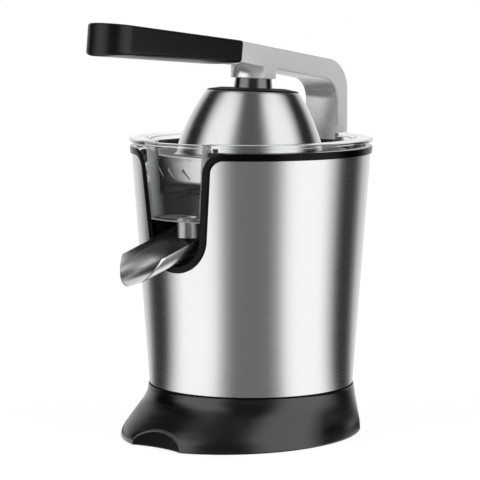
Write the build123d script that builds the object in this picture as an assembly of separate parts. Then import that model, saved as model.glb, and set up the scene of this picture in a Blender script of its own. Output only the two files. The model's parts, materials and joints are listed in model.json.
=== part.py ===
from build123d import *
import os
from math import acos, atan2, cos, degrees, hypot, pi, radians, sin, sqrt, tan

# Electric citrus juicer with a press lever, in millimetres.
# The origin is on the drive axis at table level, +Z is up and the spout faces -Y.

# Fits
overrun = 5.0             # how far a cutting tool runs past the face it leaves
seat_gap = 0.15           # between pieces that sit one in another
press_gap = 0.02          # radial gap of a pressed or screwed fit
run_gap = 0.05            # radial gap of a shaft or pin in its bush
swing_gap = 0.4           # between a moving piece and a wall that it passes

# Steel sleeve of the body
shell_low_z = 29.0
shell_top_z = 206.7
shell_low_radius = 74.5
shell_top_radius = 87.6
shell_wall = 0.8

# U cut-out at the front of the sleeve
cutout_low_z = 124.7      # lowest point of its edge
cutout_low_half = 25.2    # half width of its sides at that level
cutout_lean = 6.0         # degrees that its sides lean outwards
cutout_corner = 27.0      # radius of its round bottom
cutout_flare = 10.0       # radius where its sides turn into the band

# Black trim: the band on top of the sleeve and the bezel round the cut-out
trim_width = 5.3
trim_proud = 1.2          # stands out of the sleeve
trim_depth = 4.0          # reaches into the body
trim_skirt = 6.0          # locating skirt inside the sleeve

# Flared base, round at its collar and oval at its foot
base_foot_z = 0.4         # underside of the skirt above the table
base_top_z = 36.0
base_collar = 1.5         # stands out of the sleeve's lower edge
base_low_wider = 6.4      # the foot beyond the collar, to each side
base_low_longer = 19.8    # the foot beyond the collar, at each end
base_front_shift = 10.9   # the foot's centre lies this far in front of the axis
base_wall = 2.5
base_deck_wall = 3.0
scallop_radius = 75.0     # hollow for the glass at the front
scallop_depth = 7.8
air_hole_radius = 26.0
# Shares of the way from the collar to the foot: height, width, length and forward shift
base_flare_shares = ((0, 0, 0, 0), (0.14, 0, 0.08, 0), (0.28, 0.03, 0.25, 0.11), (0.45, 0.16, 0.52, 0.37),
                     (0.65, 0.39, 0.81, 0.68), (0.84, 0.75, 0.99, 0.92), (1, 1, 1, 1))

# Bottom plate, its feet and screws
plate_wall = 2.0
plate_lift = 1.0          # above the skirt's foot
vent_length = 34.0
vent_width = 3.0
vent_pitch = 8.0
vent_count = 5
foot_count = 4
foot_turn = 45.0          # degrees from +X to the first foot
foot_radius = 7.0
foot_stem_radius = 2.5
foot_inset = 8.4          # ring of feet inside the foot's half width
plate_screw_inset = 24.4  # ring of screws inside the foot's half width
plate_boss_radius = 4.0
screw_radius = 1.6
screw_head_radius = 3.2
screw_head = 2.4
plate_screw_head = 1.2
screw_length = 16.0

# Cord gland at the rear of the base
gland_z = 15.0
gland_bore = 3.6
gland_radius = 5.2
gland_flange_radius = 6.8
gland_flange = 2.0
gland_stand = 1.6         # lets the flange clear the flared wall
gland_tail = 6.0          # length inside the wall

# Inner tub with its deck, the spout niche under it and the posts that carry it
deck_z = 177.0
deck_wall = 3.0
tub_inset = 2.7           # inside the sleeve at the deck
tub_wall = 2.0
tub_lip = 2.5
niche_inset = 35.6        # back wall inside the sleeve's upper edge
niche_wall = 2.0
post_inset = 8.5          # posts' places inside the sleeve's lower edge
post_y = 18.0
post_radius = 4.5
post_spigot_radius = 2.5
post_spigot = 2.0         # into the deck
collar_radius = 14.0      # raised collar round the drive shaft
collar_bore = 8.0
collar_high = 7.0

# Clear collector
rim_over = 1.8            # rim beyond the sleeve's upper edge
rim_thick = 2.6
rim_edge = 0.7            # radius along the rim's edges
rib_high = 3.2            # rib that stands on the band
rib_width = 3.6
rib_inset = 1.8           # from the rim's edge
bowl_gap = 3.0            # round the bowl in the tub
bowl_wall = 2.0
bowl_floor_z = 178.5
bay_low_z = 162.0
bay_inset = 31.6          # back wall inside the sleeve's upper edge
pane_gap = 0.4            # round the window's edge
pane_proud = 0.3
nozzle_inset = 19.6       # its axis inside the sleeve's upper edge
nozzle_radius = 9.0
nozzle_bore = 7.0
nozzle_neck_radius = 8.0  # where it sits in the bay's floor
nozzle_low_z = 149.5
chimney_radius = 17.0
chimney_top_z = 197.0
ledge_drop = 11.3         # sieve ledge below the rim's top
ledge_width = 2.0
ledge_thick = 2.0

# Sieve
sieve_sheet = 0.8
sieve_inset = 3.5         # its wall's upper end inside the bowl's wall
sieve_taper = 5.0         # its wall's lower end inside the upper
sieve_corner = 4.0
sieve_deep = 19.5
sieve_slots = 26
slot_tall = 9.0
slot_top_width = 3.0
slot_low_width = 1.0
slot_lean = 40.0          # degrees that a wall slot leans from upright
floor_slots = 36
floor_slot_length = 22.0
floor_slot_width = 1.6
floor_slot_circle = 52.0

# Juicing cone
cone_low_z = 198.0
cone_top_z = 240.0
cone_radius = 36.0
cone_tip_radius = 4.0
cone_wall = 2.5
cone_bulge = 6.0          # how far its side swells beyond a straight taper
cone_ribs = 8
cone_rib_proud = 2.0
cone_rib_width = 2.2
cone_hub_radius = 8.5

# Drive shaft and its stroke
shaft_radius = 5.0
shaft_flat = 3.8          # half width across the two flats
shaft_top_z = 216.0
shaft_low_z = 125.5
stroke = 3.0
shaft_collar_radius = 8.0
shaft_collar_high = 2.5
spring_radius = 7.4
spring_bore = 5.6
seal_radius = 8.0
seal_high = 4.0

# Gear plates and their pillars
boss_drop = 10.0          # deck to upper gear plate
gear_plate = 3.0
gear_room = 32.0
gear_plate_half_x = 52.0
gear_plate_front_y = 31.0
gear_plate_rear_y = 57.0
gear_plate_corner = 7.0
pillar_inset = 6.5
pillar_radius = 4.0
bolt_radius = 2.0
bolt_head_radius = 3.5
bolt_head = 3.0
bolt_reach = 8.0          # into the bosses under the deck
bush_radius = 8.0
bush_flange_radius = 9.0
bush_flange = 1.5

# Gears
pinion_teeth = 12
wheel_teeth = 48
first_module = 1.0
second_module = 1.25
pressure_angle = 25.0
addendum_share = 0.8
dedendum_share = 1.1
tooth_play_share = 0.16   # of the module, taken off each tooth's thickness
gear_face = 8.0
gear_side_gap = 2.0
gear_hub_radius = 9.0
gear_hub_high = 2.0
web_radius_share = 0.78   # of a wheel's pitch radius, where its thin web ends
web_recess = 2.0
axle_radius = 3.0

# Motor
motor_y = 13.5            # behind the drive axis
motor_shaft_radius = 3.0
motor_shaft_low_z = 40.0
stack_low_z = 64.0
stack_high = 32.0
stator_radius = 33.0
stator_bore = 19.3
rotor_radius = 18.5
rotor_slots = 12
rotor_slot_width = 2.4
rotor_slot_depth = 4.0
coil_in_radius = 21.5
coil_out_radius = 28.0
coil_half_angle = 61.0
pole_half_angle = 48.0
coil_play = 1.0           # degrees round a coil in its slots
coil_end = 7.0            # end turns beyond the stack
motor_bar_high = 3.0
motor_bar_width = 24.0
motor_bar_top_z = 111.0
motor_bar_low_z = 51.0
motor_bolt_x = 37.0
motor_lug_radius = 5.0
motor_bolt_radius = 2.0
bearing_radius = 7.0
commutator_radius = 11.0
commutator_low_z = 97.0
commutator_high = 10.0
brush_width = 6.0
brush_length = 14.0
brush_gap = 0.3
fan_radius = 30.0
fan_hub_radius = 6.5
fan_disc = 1.6
fan_high = 8.0
fan_blades = 9
fan_blade = 1.4
fan_blade_start = 10.0

# Micro switch under the drive shaft
switch_half_x = 10.0
switch_half_y = 3.2
switch_low_z = 111.6
switch_high = 10.0
switch_leg_x = 8.0
switch_leg_radius = 1.7
plunger_radius = 1.5
plunger_length = 6.2
plunger_gap = 0.3

# Lever arm
arm_half = 16.0           # half its width
arm_front_y = 30.0        # front end, where the grip starts
arm_top_z = 289.3         # upper edge at the front end
arm_fall = 9.06           # degrees that its upper edge falls to the rear
arm_thick = 15.2
arm_edge = 0.8            # chamfer along its side faces
post_over = 4.8           # rear face beyond the sleeve's upper edge
post_thick = 12.3
bend_outer = 24.0
bend_inner = 17.0
hinge_z = 196.0
tang_length = 70.0
tang_half = 10.0
tang_high = 8.0

# Press boss, neck and dome on their own leaning axis
press_lean = 3.5          # degrees that the dome's axis leans to the rear
press_y = 2.0             # where that axis meets the dome's top
press_z = 252.3
boss_radius = 16.8
boss_rear = 6.5           # flat rear face behind the press axis
boss_drop_z = 8.4         # boss underside above the dome's top
boss_edge = 0.5           # chamfer round its underside
neck_radius = 13.6
neck_low_radius = 14.3
cap_inset = 2.7           # inside the dome's top edge
cap_thick = 1.4
neck_stud_radius = 6.0
neck_stud = 5.0
dome_sheet = 1.0
dome_taper = 22.3         # its top's radius less than its lower edge's
dome_shoulder = 2.5
dome_inset = 16.4         # its lower edge inside the sieve's upper
dome_deep = 50.0
dome_swell = 2.4          # bulge of its side beyond a straight taper
dome_lip = 1.2
dome_lip_high = 1.6
retainer_inset = 11.3     # inside the dome's top edge
retainer_thick = 3.0
dome_screw_radius = 2.5
dome_screw_head_radius = 4.8
dome_screw_head = 3.0
dome_screw_reach = 8.0    # into the boss

# Grip
grip_half = 18.6
grip_thick = 18.1         # at its rear end
grip_crown = 2.6          # belly of its underside
grip_length = 131.0
grip_rise = 6.6           # degrees that its top rises to the front
grip_taper = 2.2          # degrees between its top and its underside
grip_corner = 2.2
grip_tip_radius = 18.0
grip_screw_share = (0.3, 0.72)

# Hinge at the rear
hinge_pin_radius = 3.0
hinge_bush_radius = 4.4
hinge_bush_length = 10.0
cheek_wall = 3.0
cheek_floor = 3.0
cheek_front = 1.3
hinge_seat_high = 24.0
bracket_screw_x = 6.0
bracket_screw_back = 1.9  # behind the bracket's front
bracket_screw_radius = 1.3
bracket_screw_length = 10.0

# Spout
spout_over = 41.4         # its tip beyond the sleeve's upper edge
spout_tip_z = 120.5
spout_inset = 29.6        # its rear end inside the sleeve's upper edge
spout_slope = 16.0        # degrees
spout_bore = 20.1         # inner radius of the half pipe
spout_sheet = 0.8
spout_half = 19.4         # half width between its edges
spout_hinge_inset = 23.6  # its hinge inside the sleeve's upper edge
spout_hinge_z = 149.5
spout_ear_radius = 4.4
spout_ear = 3.2
spout_pin_radius = 2.0

# Places worked out from the sizes above
base_top_radius = shell_low_radius + base_collar
base_low_half = base_top_radius + base_low_wider
base_low_reach = base_top_radius + base_low_longer
foot_circle = base_low_half - foot_inset
plate_screw_circle = base_low_half - plate_screw_inset
rim_radius = shell_top_radius + rim_over
niche_back_y = shell_top_radius - niche_inset
bay_back_y = shell_top_radius - bay_inset
nozzle_y = shell_top_radius - nozzle_inset
spout_tip_y = shell_top_radius + spout_over
spout_back_y = shell_top_radius - spout_inset
spout_hinge_y = shell_top_radius - spout_hinge_inset
post_rear_y = shell_top_radius + post_over
post_x = shell_low_radius - post_inset
band_top_z = shell_top_z + trim_width
rim_top_z = band_top_z + rib_high + rim_thick
ledge_z = rim_top_z - ledge_drop
sieve_floor_z = ledge_z + sieve_sheet - sieve_deep
deck_low_z = deck_z - deck_wall
sleeve_slope = (shell_top_radius - shell_low_radius) / (shell_top_z - shell_low_z)
tub_radius = shell_low_radius + (deck_low_z - shell_low_z) * sleeve_slope - tub_inset
bowl_radius = tub_radius - tub_wall - bowl_gap
sieve_top_radius = bowl_radius - bowl_wall - sieve_inset
sieve_low_radius = sieve_top_radius - sieve_taper
dome_low_radius = sieve_top_radius - dome_inset
dome_top_radius = dome_low_radius - dome_taper
cap_radius = dome_top_radius - cap_inset
retainer_radius = dome_top_radius - retainer_inset
upper_plate_z = deck_low_z - boss_drop
lower_plate_z = upper_plate_z - gear_plate - gear_room
first_gear_z = lower_plate_z + gear_side_gap
second_gear_z = first_gear_z + gear_face + gear_side_gap
hub_top_z = second_gear_z + gear_face + gear_hub_high
shaft_collar_z = upper_plate_z - gear_plate - plunger_gap - shaft_collar_high
stack_top_z = stack_low_z + stack_high
first_centres = first_module * (pinion_teeth + wheel_teeth) / 2
second_centres = second_module * (pinion_teeth + wheel_teeth) / 2
idler_y = (second_centres ** 2 - first_centres ** 2 + motor_y ** 2) / (2 * motor_y)
idler_x = sqrt(second_centres ** 2 - idler_y ** 2)
pillar_x = gear_plate_half_x - pillar_inset
pillar_spots = [(side * pillar_x, y) for side in (-1, 1)
                for y in (pillar_inset - gear_plate_front_y, gear_plate_rear_y - pillar_inset)]
post_spots = [(sx * post_x, sy * post_y) for sx in (-1, 1) for sy in (-1, 1)]
plate_z = base_foot_z + plate_lift
hinge_y = post_rear_y - post_thick / 2
cheek_half = arm_half + swing_gap + cheek_wall
hinge_front_y = post_rear_y - post_thick - swing_gap - cheek_front
bracket_low_z = hinge_z - post_thick / 2 - swing_gap - cheek_floor
bracket_screw_y = hinge_front_y + bracket_screw_back
slope_z = arm_top_z - (post_rear_y + arm_front_y) * tan(radians(arm_fall))

ON_TOP = (Align.CENTER, Align.CENTER, Align.MIN)


def rod(radius, low_z, high_z, x=0, y=0):
    """An upright cylinder between two heights."""
    return Pos(x, y, low_z) * Cylinder(radius, high_z - low_z, align=ON_TOP)


def tube(radius, bore, low_z, high_z, x=0, y=0):
    """An upright tube whose bore is cut with an overrun at both ends."""
    return rod(radius, low_z, high_z, x, y) - rod(bore, low_z - overrun, high_z + overrun, x, y)


def cross_rod(radius, low_x, high_x, y, z):
    """A cylinder along X."""
    return Pos(low_x, y, z) * Rot(0, 90, 0) * Cylinder(radius, high_x - low_x, align=ON_TOP)


def block(low_x, high_x, low_y, high_y, low_z, high_z):
    """A box between two corners."""
    middle = ((low_x + high_x) / 2, (low_y + high_y) / 2, (low_z + high_z) / 2)
    return Pos(*middle) * Box(high_x - low_x, high_y - low_y, high_z - low_z)


def turned(points, radii=0):
    """A solid of revolution about Z from a closed outline of (radius, height) points."""
    corners = radii if radii else [0] * len(points)
    outline = FilletPolyline(*points, radius=corners, close=True)
    return revolve(make_face(Plane.XZ * outline), Axis.Z)


def group(shapes):
    """Separate solids that share a node."""
    return Compound([solid for shape in shapes for solid in shape.solids()])


def ring_spots(radius):
    """Places of the feet, or of their screws, on a circle about the foot's centre."""
    angles = [radians(foot_turn + 360 * i / foot_count) for i in range(foot_count)]
    return [(radius * cos(a), radius * sin(a) - base_front_shift) for a in angles]


def shell_radius(z):
    """Outer radius of the steel sleeve's cone at a height."""
    return shell_low_radius + (z - shell_low_z) * sleeve_slope


def body_cone(offset, low_z, high_z):
    """A solid cone that lies an offset outside the sleeve's outer face."""
    low, high = shell_radius(low_z) + offset, shell_radius(high_z) + offset
    return turned([(0, low_z), (low, low_z), (high, high_z), (0, high_z)])


def cutout_side(z, inset):
    """Half width of the cut-out's leaning side, moved in by an inset."""
    lean = radians(cutout_lean)
    return cutout_low_half + (z - cutout_low_z) * tan(lean) - inset / cos(lean)


def cutout_face(inset, half, top_z):
    """The U cut-out with its flares and all that lies above, moved in by an inset."""
    low, line = cutout_low_z + inset, shell_top_z + inset
    side, corner = cutout_side(line, inset), cutout_side(low, inset)
    right = [(corner, low), (side, line), (half, line), (half, top_z)]
    radii = [cutout_corner - inset, cutout_flare + inset, 0, 0]
    points = right + [(-x, z) for x, z in reversed(right)]
    return make_face(Plane.XZ * FilletPolyline(*points, radius=radii + radii[::-1], close=True))


def forward(face, start_y, end_y):
    """Extrudes a face in the XZ plane towards the front, from one distance to another."""
    return Pos(0, -start_y, 0) * extrude(face, end_y - start_y, dir=(0, -1, 0))


front_reach = shell_top_radius + overrun
rear_slot = block(-cheek_half - seat_gap, cheek_half + seat_gap, hinge_front_y - seat_gap,
                  front_reach + overrun, bracket_low_z - seat_gap, rim_top_z + overrun)


# Base

def base_ring(down, wide, long, ahead, inset):
    """Oval section of the flared foot at its shares of the flare, moved in by an inset."""
    half = base_top_radius + wide * (base_low_half - base_top_radius) - inset
    reach = base_top_radius + long * (base_low_reach - base_top_radius) - inset
    height = base_top_z - down * (base_top_z - base_foot_z)
    return Pos(0, -ahead * base_front_shift, height) * Ellipse(half, reach)


def base_solid(inset, low_z, high_z):
    """The flared foot, lofted through its ovals, its wall moved in by an inset."""
    rings = [base_ring(*shares, inset) for shares in base_flare_shares]
    return loft(rings) & rod(base_low_reach + base_front_shift + overrun, low_z, high_z)


def scallop(inset):
    """The upright hollow that the glass stands in."""
    middle_y = base_low_reach + base_front_shift - scallop_depth + scallop_radius
    return rod(scallop_radius + inset, -overrun, base_top_z + overrun, 0, -middle_y)


def base_skirt():
    ceiling_z = shell_low_z - base_deck_wall
    outer = base_solid(0, base_foot_z, base_top_z) - scallop(0)
    cavity = base_solid(base_wall, base_foot_z - overrun, ceiling_z) - scallop(base_wall)
    skirt = outer - cavity - body_cone(seat_gap, shell_low_z, base_top_z + overrun)
    for x, y in ring_spots(plate_screw_circle):
        skirt += tube(plate_boss_radius, screw_radius + press_gap, plate_z + plate_wall, ceiling_z, x, y)
    for x, y in post_spots:
        skirt -= rod(screw_radius + press_gap, 0, base_top_z, x, y)
    skirt -= rod(air_hole_radius, 0, base_top_z, 0, motor_y)
    return skirt - gland_axis() * rod(gland_radius + press_gap, 0, base_low_reach)


def base_plate():
    inset = base_wall + seat_gap
    plate = base_solid(inset, plate_z, plate_z + plate_wall) - scallop(inset)
    for i in range(vent_count):
        y = motor_y + (i - (vent_count - 1) / 2) * vent_pitch
        plate -= Pos(0, y, plate_z) * Box(vent_length, vent_width, base_top_z)
    for x, y in ring_spots(foot_circle):
        plate -= rod(foot_stem_radius + press_gap, 0, base_top_z, x, y)
    for x, y in ring_spots(plate_screw_circle):
        plate -= rod(screw_radius + press_gap, 0, base_top_z, x, y)
    return plate


def feet():
    stem_z = plate_z + plate_wall
    return group([rod(foot_radius, 0, plate_z, x, y) + rod(foot_stem_radius, plate_z, stem_z, x, y)
                  for x, y in ring_spots(foot_circle)])


def screw_up(x, y, seat_z, head):
    """A pan-head screw driven upwards into what sits on its seat."""
    stem = rod(screw_radius, seat_z, seat_z + screw_length, x, y)
    return stem + rod(screw_head_radius, seat_z - head, seat_z, x, y)


def plate_screws():
    return group([screw_up(x, y, plate_z, plate_screw_head) for x, y in ring_spots(plate_screw_circle)])


def post_screws():
    return group([screw_up(x, y, shell_low_z - base_deck_wall, screw_head) for x, y in post_spots])


def gland_axis():
    """Turns an upright shape on to the cord's exit at the rear of the base."""
    return Pos(0, 0, gland_z) * Rot(-90, 0, 0)


def gland_wall_y():
    """Rear face of the skirt at the gland's height, between the two ovals that lie about it."""
    share = (base_top_z - gland_z) / (base_top_z - base_foot_z)
    pairs = zip(base_flare_shares, base_flare_shares[1:])
    above, below = [pair for pair in pairs if pair[0][0] <= share < pair[1][0]][0]
    mix = (share - above[0]) / (below[0] - above[0])
    long = above[2] + mix * (below[2] - above[2])
    ahead = above[3] + mix * (below[3] - above[3])
    return base_top_radius + long * (base_low_reach - base_top_radius) - ahead * base_front_shift


def cord_gland():
    wall_y = gland_wall_y()
    flange_y = wall_y + gland_stand
    bush = rod(gland_radius, wall_y - base_wall - gland_tail, flange_y)
    bush += rod(gland_flange_radius, flange_y, flange_y + gland_flange)
    bush -= rod(gland_bore, 0, flange_y + gland_flange + overrun)
    return gland_axis() * bush


# Body

def body_shell():
    sleeve = body_cone(0, shell_low_z, shell_top_z)
    low, high = shell_low_z - overrun, shell_top_z + overrun
    sleeve -= body_cone(-shell_wall, low, high)
    sleeve -= forward(cutout_face(-seat_gap, front_reach, rim_top_z), 0, front_reach)
    return sleeve - rear_slot


def rim_trim():
    reach = front_reach + overrun
    trim = body_cone(trim_proud, cutout_low_z - overrun, band_top_z)
    trim -= body_cone(-trim_depth, cutout_low_z - 2 * overrun, band_top_z + overrun)
    trim -= forward(cutout_face(trim_width, reach, band_top_z + overrun), 0, reach)
    beside = block(-reach, reach, -reach, reach, 0, shell_top_z)
    beside -= forward(cutout_face(0, reach + overrun, rim_top_z), 0, reach + overrun)
    beside -= body_cone(-shell_wall - seat_gap, shell_top_z - trim_skirt, shell_top_z + overrun)
    return trim - beside - rear_slot


def tub_cup():
    """Turned wall and deck of the tub, with the raised collar round the drive shaft."""
    inner = tub_radius - tub_wall
    lip = shell_radius(band_top_z - tub_lip) - trim_depth - seat_gap
    return turned([(collar_bore, deck_low_z), (tub_radius, deck_low_z), (tub_radius, band_top_z - tub_lip),
                   (lip, band_top_z - tub_lip), (lip, band_top_z), (inner, band_top_z), (inner, deck_z),
                   (collar_radius, deck_z), (collar_radius, deck_z + collar_high),
                   (collar_bore, deck_z + collar_high)])


def niche_face(inset, top_z):
    """The U of the cut-out without its flares, moved in by an inset."""
    low = cutout_low_z + inset
    right = [(cutout_side(low, inset), low), (cutout_side(top_z, inset), top_z)]
    points = right + [(-x, z) for x, z in reversed(right)]
    corner = cutout_corner - inset
    return make_face(Plane.XZ * FilletPolyline(*points, radius=[corner, 0, 0, corner], close=True))


def bezel_room():
    """The space that the trim's bezel fills round the cut-out."""
    room = forward(cutout_face(-seat_gap, front_reach, rim_top_z), niche_back_y, front_reach)
    return room - body_cone(-trim_depth - seat_gap, cutout_low_z - overrun, rim_top_z)


def inner_tub():
    tub = tub_cup() - bezel_room()
    tub -= forward(niche_face(trim_width, band_top_z + overrun), niche_back_y, front_reach)
    seat = block(-cheek_half, cheek_half, hinge_front_y, front_reach, bracket_low_z - hinge_seat_high,
                 bracket_low_z)
    tub += seat & body_cone(-shell_wall - seat_gap, shell_low_z, bracket_low_z)
    tub -= rear_slot
    for x, y in post_spots:
        tub -= rod(post_spigot_radius + press_gap, deck_low_z - overrun, deck_low_z + post_spigot, x, y)
    for x, y in pillar_spots:
        tub += tube(pillar_radius, bolt_radius + press_gap, upper_plate_z, deck_low_z, x, y)
    for side in (-1, 1):
        tub -= rod(bracket_screw_radius + press_gap, bracket_low_z - bracket_screw_length, rim_top_z,
                   side * bracket_screw_x, bracket_screw_y)
    return tub


def spout_niche():
    pocket = forward(niche_face(trim_width - niche_wall, deck_low_z), niche_back_y - niche_wall, front_reach)
    pocket &= body_cone(-trim_depth - seat_gap, cutout_low_z - overrun, deck_low_z)
    pocket -= forward(niche_face(trim_width, deck_low_z + overrun), niche_back_y, front_reach)
    pin_reach = cutout_side(spout_hinge_z, 0)
    return pocket - cross_rod(spout_pin_radius + press_gap, -pin_reach, pin_reach, -spout_hinge_y,
                              spout_hinge_z)


def body_posts():
    posts = []
    for x, y in post_spots:
        post = tube(post_radius, screw_radius + press_gap, shell_low_z, deck_low_z, x, y)
        post += rod(post_spigot_radius, deck_low_z - post_spigot, deck_low_z + post_spigot, x, y)
        posts.append(post)
    return group(posts)


def shaft_seal():
    return tube(seal_radius - press_gap, shaft_radius + run_gap, deck_z, deck_z + seal_high)


# Collector and sieve

def bay_face(inset, low_z, high_z):
    """Front outline of the window bay: straight leaning sides on a flat bottom."""
    low, high = cutout_side(low_z, inset), cutout_side(high_z, inset)
    return make_face(Plane.XZ * Polyline((-low, low_z), (low, low_z), (high, high_z), (-high, high_z),
                                         close=True))


def collector():
    floor_top, rim_low = bowl_floor_z + bowl_wall, rim_top_z - rim_thick
    edge, rib_out = trim_width + pane_gap, rim_radius - rib_inset
    bowl = rod(bowl_radius, bowl_floor_z, rim_top_z)
    flange = turned([(0, rim_low), (rib_out - rib_width, rim_low), (rib_out - rib_width, band_top_z),
                     (rib_out, band_top_z), (rib_out, rim_low), (rim_radius, rim_low),
                     (rim_radius, rim_top_z), (0, rim_top_z)],
                    [0, 0, 0, 0, 0, rim_edge, rim_edge, 0])
    front = body_cone(pane_proud, bay_low_z, rim_low)
    bay = forward(bay_face(edge, bay_low_z, rim_low), bay_back_y, front_reach) & front
    pane = forward(cutout_face(edge, shell_top_radius, rim_low), bay_back_y, front_reach) & front
    pane -= body_cone(pane_proud - bowl_wall, bay_low_z - overrun, rim_top_z)
    pane &= block(-bowl_radius, bowl_radius, -front_reach, 0, bay_low_z, rim_low)
    clear = bowl + flange + bay + pane
    hollow = rod(bowl_radius - bowl_wall, floor_top, rim_top_z + overrun)
    sump = forward(bay_face(edge + bowl_wall, bay_low_z + bowl_wall, rim_top_z + overrun),
                   bay_back_y + bowl_wall, front_reach)
    sump &= body_cone(pane_proud - bowl_wall, bay_low_z, rim_top_z + 2 * overrun)
    clear -= hollow + sump
    inner = bowl_radius - bowl_wall
    clear += tube(inner + bowl_wall / 2, inner - ledge_width, ledge_z - ledge_thick, ledge_z) - sump
    clear += rod(chimney_radius, bowl_floor_z, chimney_top_z)
    clear -= rod(chimney_radius - bowl_wall, bowl_floor_z - overrun, chimney_top_z + overrun)
    clear -= rod(nozzle_neck_radius + press_gap, nozzle_low_z, bay_low_z + overrun, 0, -nozzle_y)
    notch = block(-cheek_half - swing_gap, cheek_half + swing_gap, hinge_front_y - seat_gap,
                  front_reach + overrun, band_top_z - overrun, rim_top_z + overrun)
    return clear - notch


def outlet_nozzle():
    pipe = rod(nozzle_radius, nozzle_low_z, bay_low_z, 0, -nozzle_y)
    pipe += rod(nozzle_neck_radius, bay_low_z, bay_low_z + bowl_wall, 0, -nozzle_y)
    return pipe - rod(nozzle_bore, nozzle_low_z - overrun, bay_low_z + overrun, 0, -nozzle_y)


def wall_slot(angle):
    """Tapered slot through the sieve's wall, leaning from upright."""
    middle_z = sieve_floor_z + sieve_corner / 2 + slot_tall / 2
    corners = [(-slot_top_width / 2, slot_tall / 2), (slot_top_width / 2, slot_tall / 2),
               (slot_low_width / 2, -slot_tall / 2), (-slot_low_width / 2, -slot_tall / 2)]
    blade = forward(make_face(Plane.XZ * Polyline(*corners, close=True)), -overrun, 2 * overrun)
    return Rot(0, 0, angle) * Pos(0, -sieve_low_radius, middle_z) * Rot(0, -slot_lean, 0) * blade


def floor_slot(angle):
    """Slanted slot through the sieve's floor."""
    tool = Box(floor_slot_length, floor_slot_width, sieve_corner)
    return Rot(0, 0, angle) * Pos(floor_slot_circle, 0, sieve_floor_z) * Rot(0, 0, slot_lean) * tool


def sieve():
    top_z, flange = ledge_z + sieve_sheet, bowl_radius - bowl_wall - 2 * seat_gap
    low, top = sieve_low_radius, sieve_top_radius
    outer = turned([(0, sieve_floor_z - sieve_sheet), (low + sieve_sheet, sieve_floor_z - sieve_sheet),
                    (top + sieve_sheet, ledge_z), (flange, ledge_z), (flange, top_z), (0, top_z)],
                   [0, sieve_corner + sieve_sheet, 0, 0, 0, 0])
    inner = turned([(0, sieve_floor_z), (low, sieve_floor_z), (top, top_z), (top, top_z + overrun),
                    (0, top_z + overrun)],
                   [0, sieve_corner, 0, 0, 0])
    hole = rod(chimney_radius + sieve_sheet, sieve_floor_z - overrun, sieve_floor_z + overrun)
    slots = [wall_slot(360 * i / sieve_slots) for i in range(sieve_slots)]
    slots += [floor_slot(360 * i / floor_slots) for i in range(floor_slots)]
    return outer - inner - hole - slots


# Cone and drive shaft

def flatted(radius, flat, low_z, high_z):
    """A round bar with two opposite flats."""
    return rod(radius, low_z, high_z) & block(-radius, radius, -flat, flat, low_z, high_z)


def cone_face(offset):
    """Half of the cone's section, its swelling side moved out by an offset."""
    low, tip = (cone_radius + offset, cone_low_z), (cone_tip_radius + offset / 2, cone_top_z + offset)
    middle = ((low[0] + tip[0]) / 2 + cone_bulge, (low[1] + tip[1]) / 2 + cone_bulge)
    lines = [Line((0, cone_low_z), low), ThreePointArc(low, middle, tip), Line(tip, (0, tip[1])),
             Line((0, tip[1]), (0, cone_low_z))]
    return Plane.XZ * make_face(lines)


def juicing_cone():
    cone = revolve(cone_face(0), Axis.Z)
    rib = forward(cone_face(cone_rib_proud), -cone_rib_width / 2, cone_rib_width / 2)
    for i in range(cone_ribs):
        cone += Rot(0, 0, 360 * i / cone_ribs) * rib
    inside = revolve(cone_face(-cone_wall), Axis.Z) - rod(cone_hub_radius, cone_low_z, cone_top_z)
    cone -= Pos(0, 0, -cone_wall) * inside
    top_z = shaft_top_z + seat_gap
    return cone - flatted(shaft_radius + seat_gap, shaft_flat + seat_gap, cone_low_z - overrun, top_z)


def drive_shaft():
    bar = rod(shaft_radius, shaft_low_z, shaft_top_z)
    for low_z, high_z in ((second_gear_z - stroke, hub_top_z + stroke),
                          (cone_low_z - seat_gap, shaft_top_z)):
        bar -= rod(shaft_radius, low_z, high_z) - flatted(shaft_radius, shaft_flat, low_z, high_z)
    return bar


def shaft_collar():
    top_z = shaft_collar_z + shaft_collar_high
    return tube(shaft_collar_radius, shaft_radius + press_gap, shaft_collar_z, top_z)


def stroke_spring():
    return tube(spring_radius, spring_bore, hub_top_z, shaft_collar_z)


# Gear plates, bushes and gears

def gear_plate_at(top_z):
    """Steel plate with holes for the bushes, axle and bolts."""
    middle_y, length = (gear_plate_rear_y - gear_plate_front_y) / 2, gear_plate_rear_y + gear_plate_front_y
    face = RectangleRounded(2 * gear_plate_half_x, length, gear_plate_corner)
    plate = Pos(0, middle_y, top_z - gear_plate) * extrude(face, gear_plate)
    plate -= rod(bush_radius + press_gap, 0, rim_top_z)
    plate -= rod(axle_radius + press_gap, 0, rim_top_z, idler_x, idler_y)
    for x, y in pillar_spots:
        plate -= rod(bolt_radius + press_gap, 0, rim_top_z, x, y)
    return plate


def gear_plate_lower():
    plate = gear_plate_at(lower_plate_z) - rod(motor_shaft_radius + swing_gap, 0, rim_top_z, 0, motor_y)
    for side in (-1, 1):
        plate -= rod(motor_bolt_radius + press_gap, 0, rim_top_z, side * motor_bolt_x, motor_y)
    return plate


def plate_pillars():
    top_z = upper_plate_z - gear_plate
    return group([tube(pillar_radius, bolt_radius + press_gap, lower_plate_z, top_z, x, y)
                  for x, y in pillar_spots])


def drive_bolts():
    low_z = lower_plate_z - gear_plate
    return group([rod(bolt_head_radius, low_z - bolt_head, low_z, x, y)
                  + rod(bolt_radius, low_z, upper_plate_z + bolt_reach, x, y) for x, y in pillar_spots])


def shaft_bushes():
    bushes = []
    for top_z in (lower_plate_z, upper_plate_z):
        bush = rod(bush_radius, top_z - gear_plate, top_z)
        bush += rod(bush_flange_radius, top_z, top_z + bush_flange)
        bushes.append(bush - rod(shaft_radius + run_gap, 0, rim_top_z))
    return group(bushes)


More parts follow.
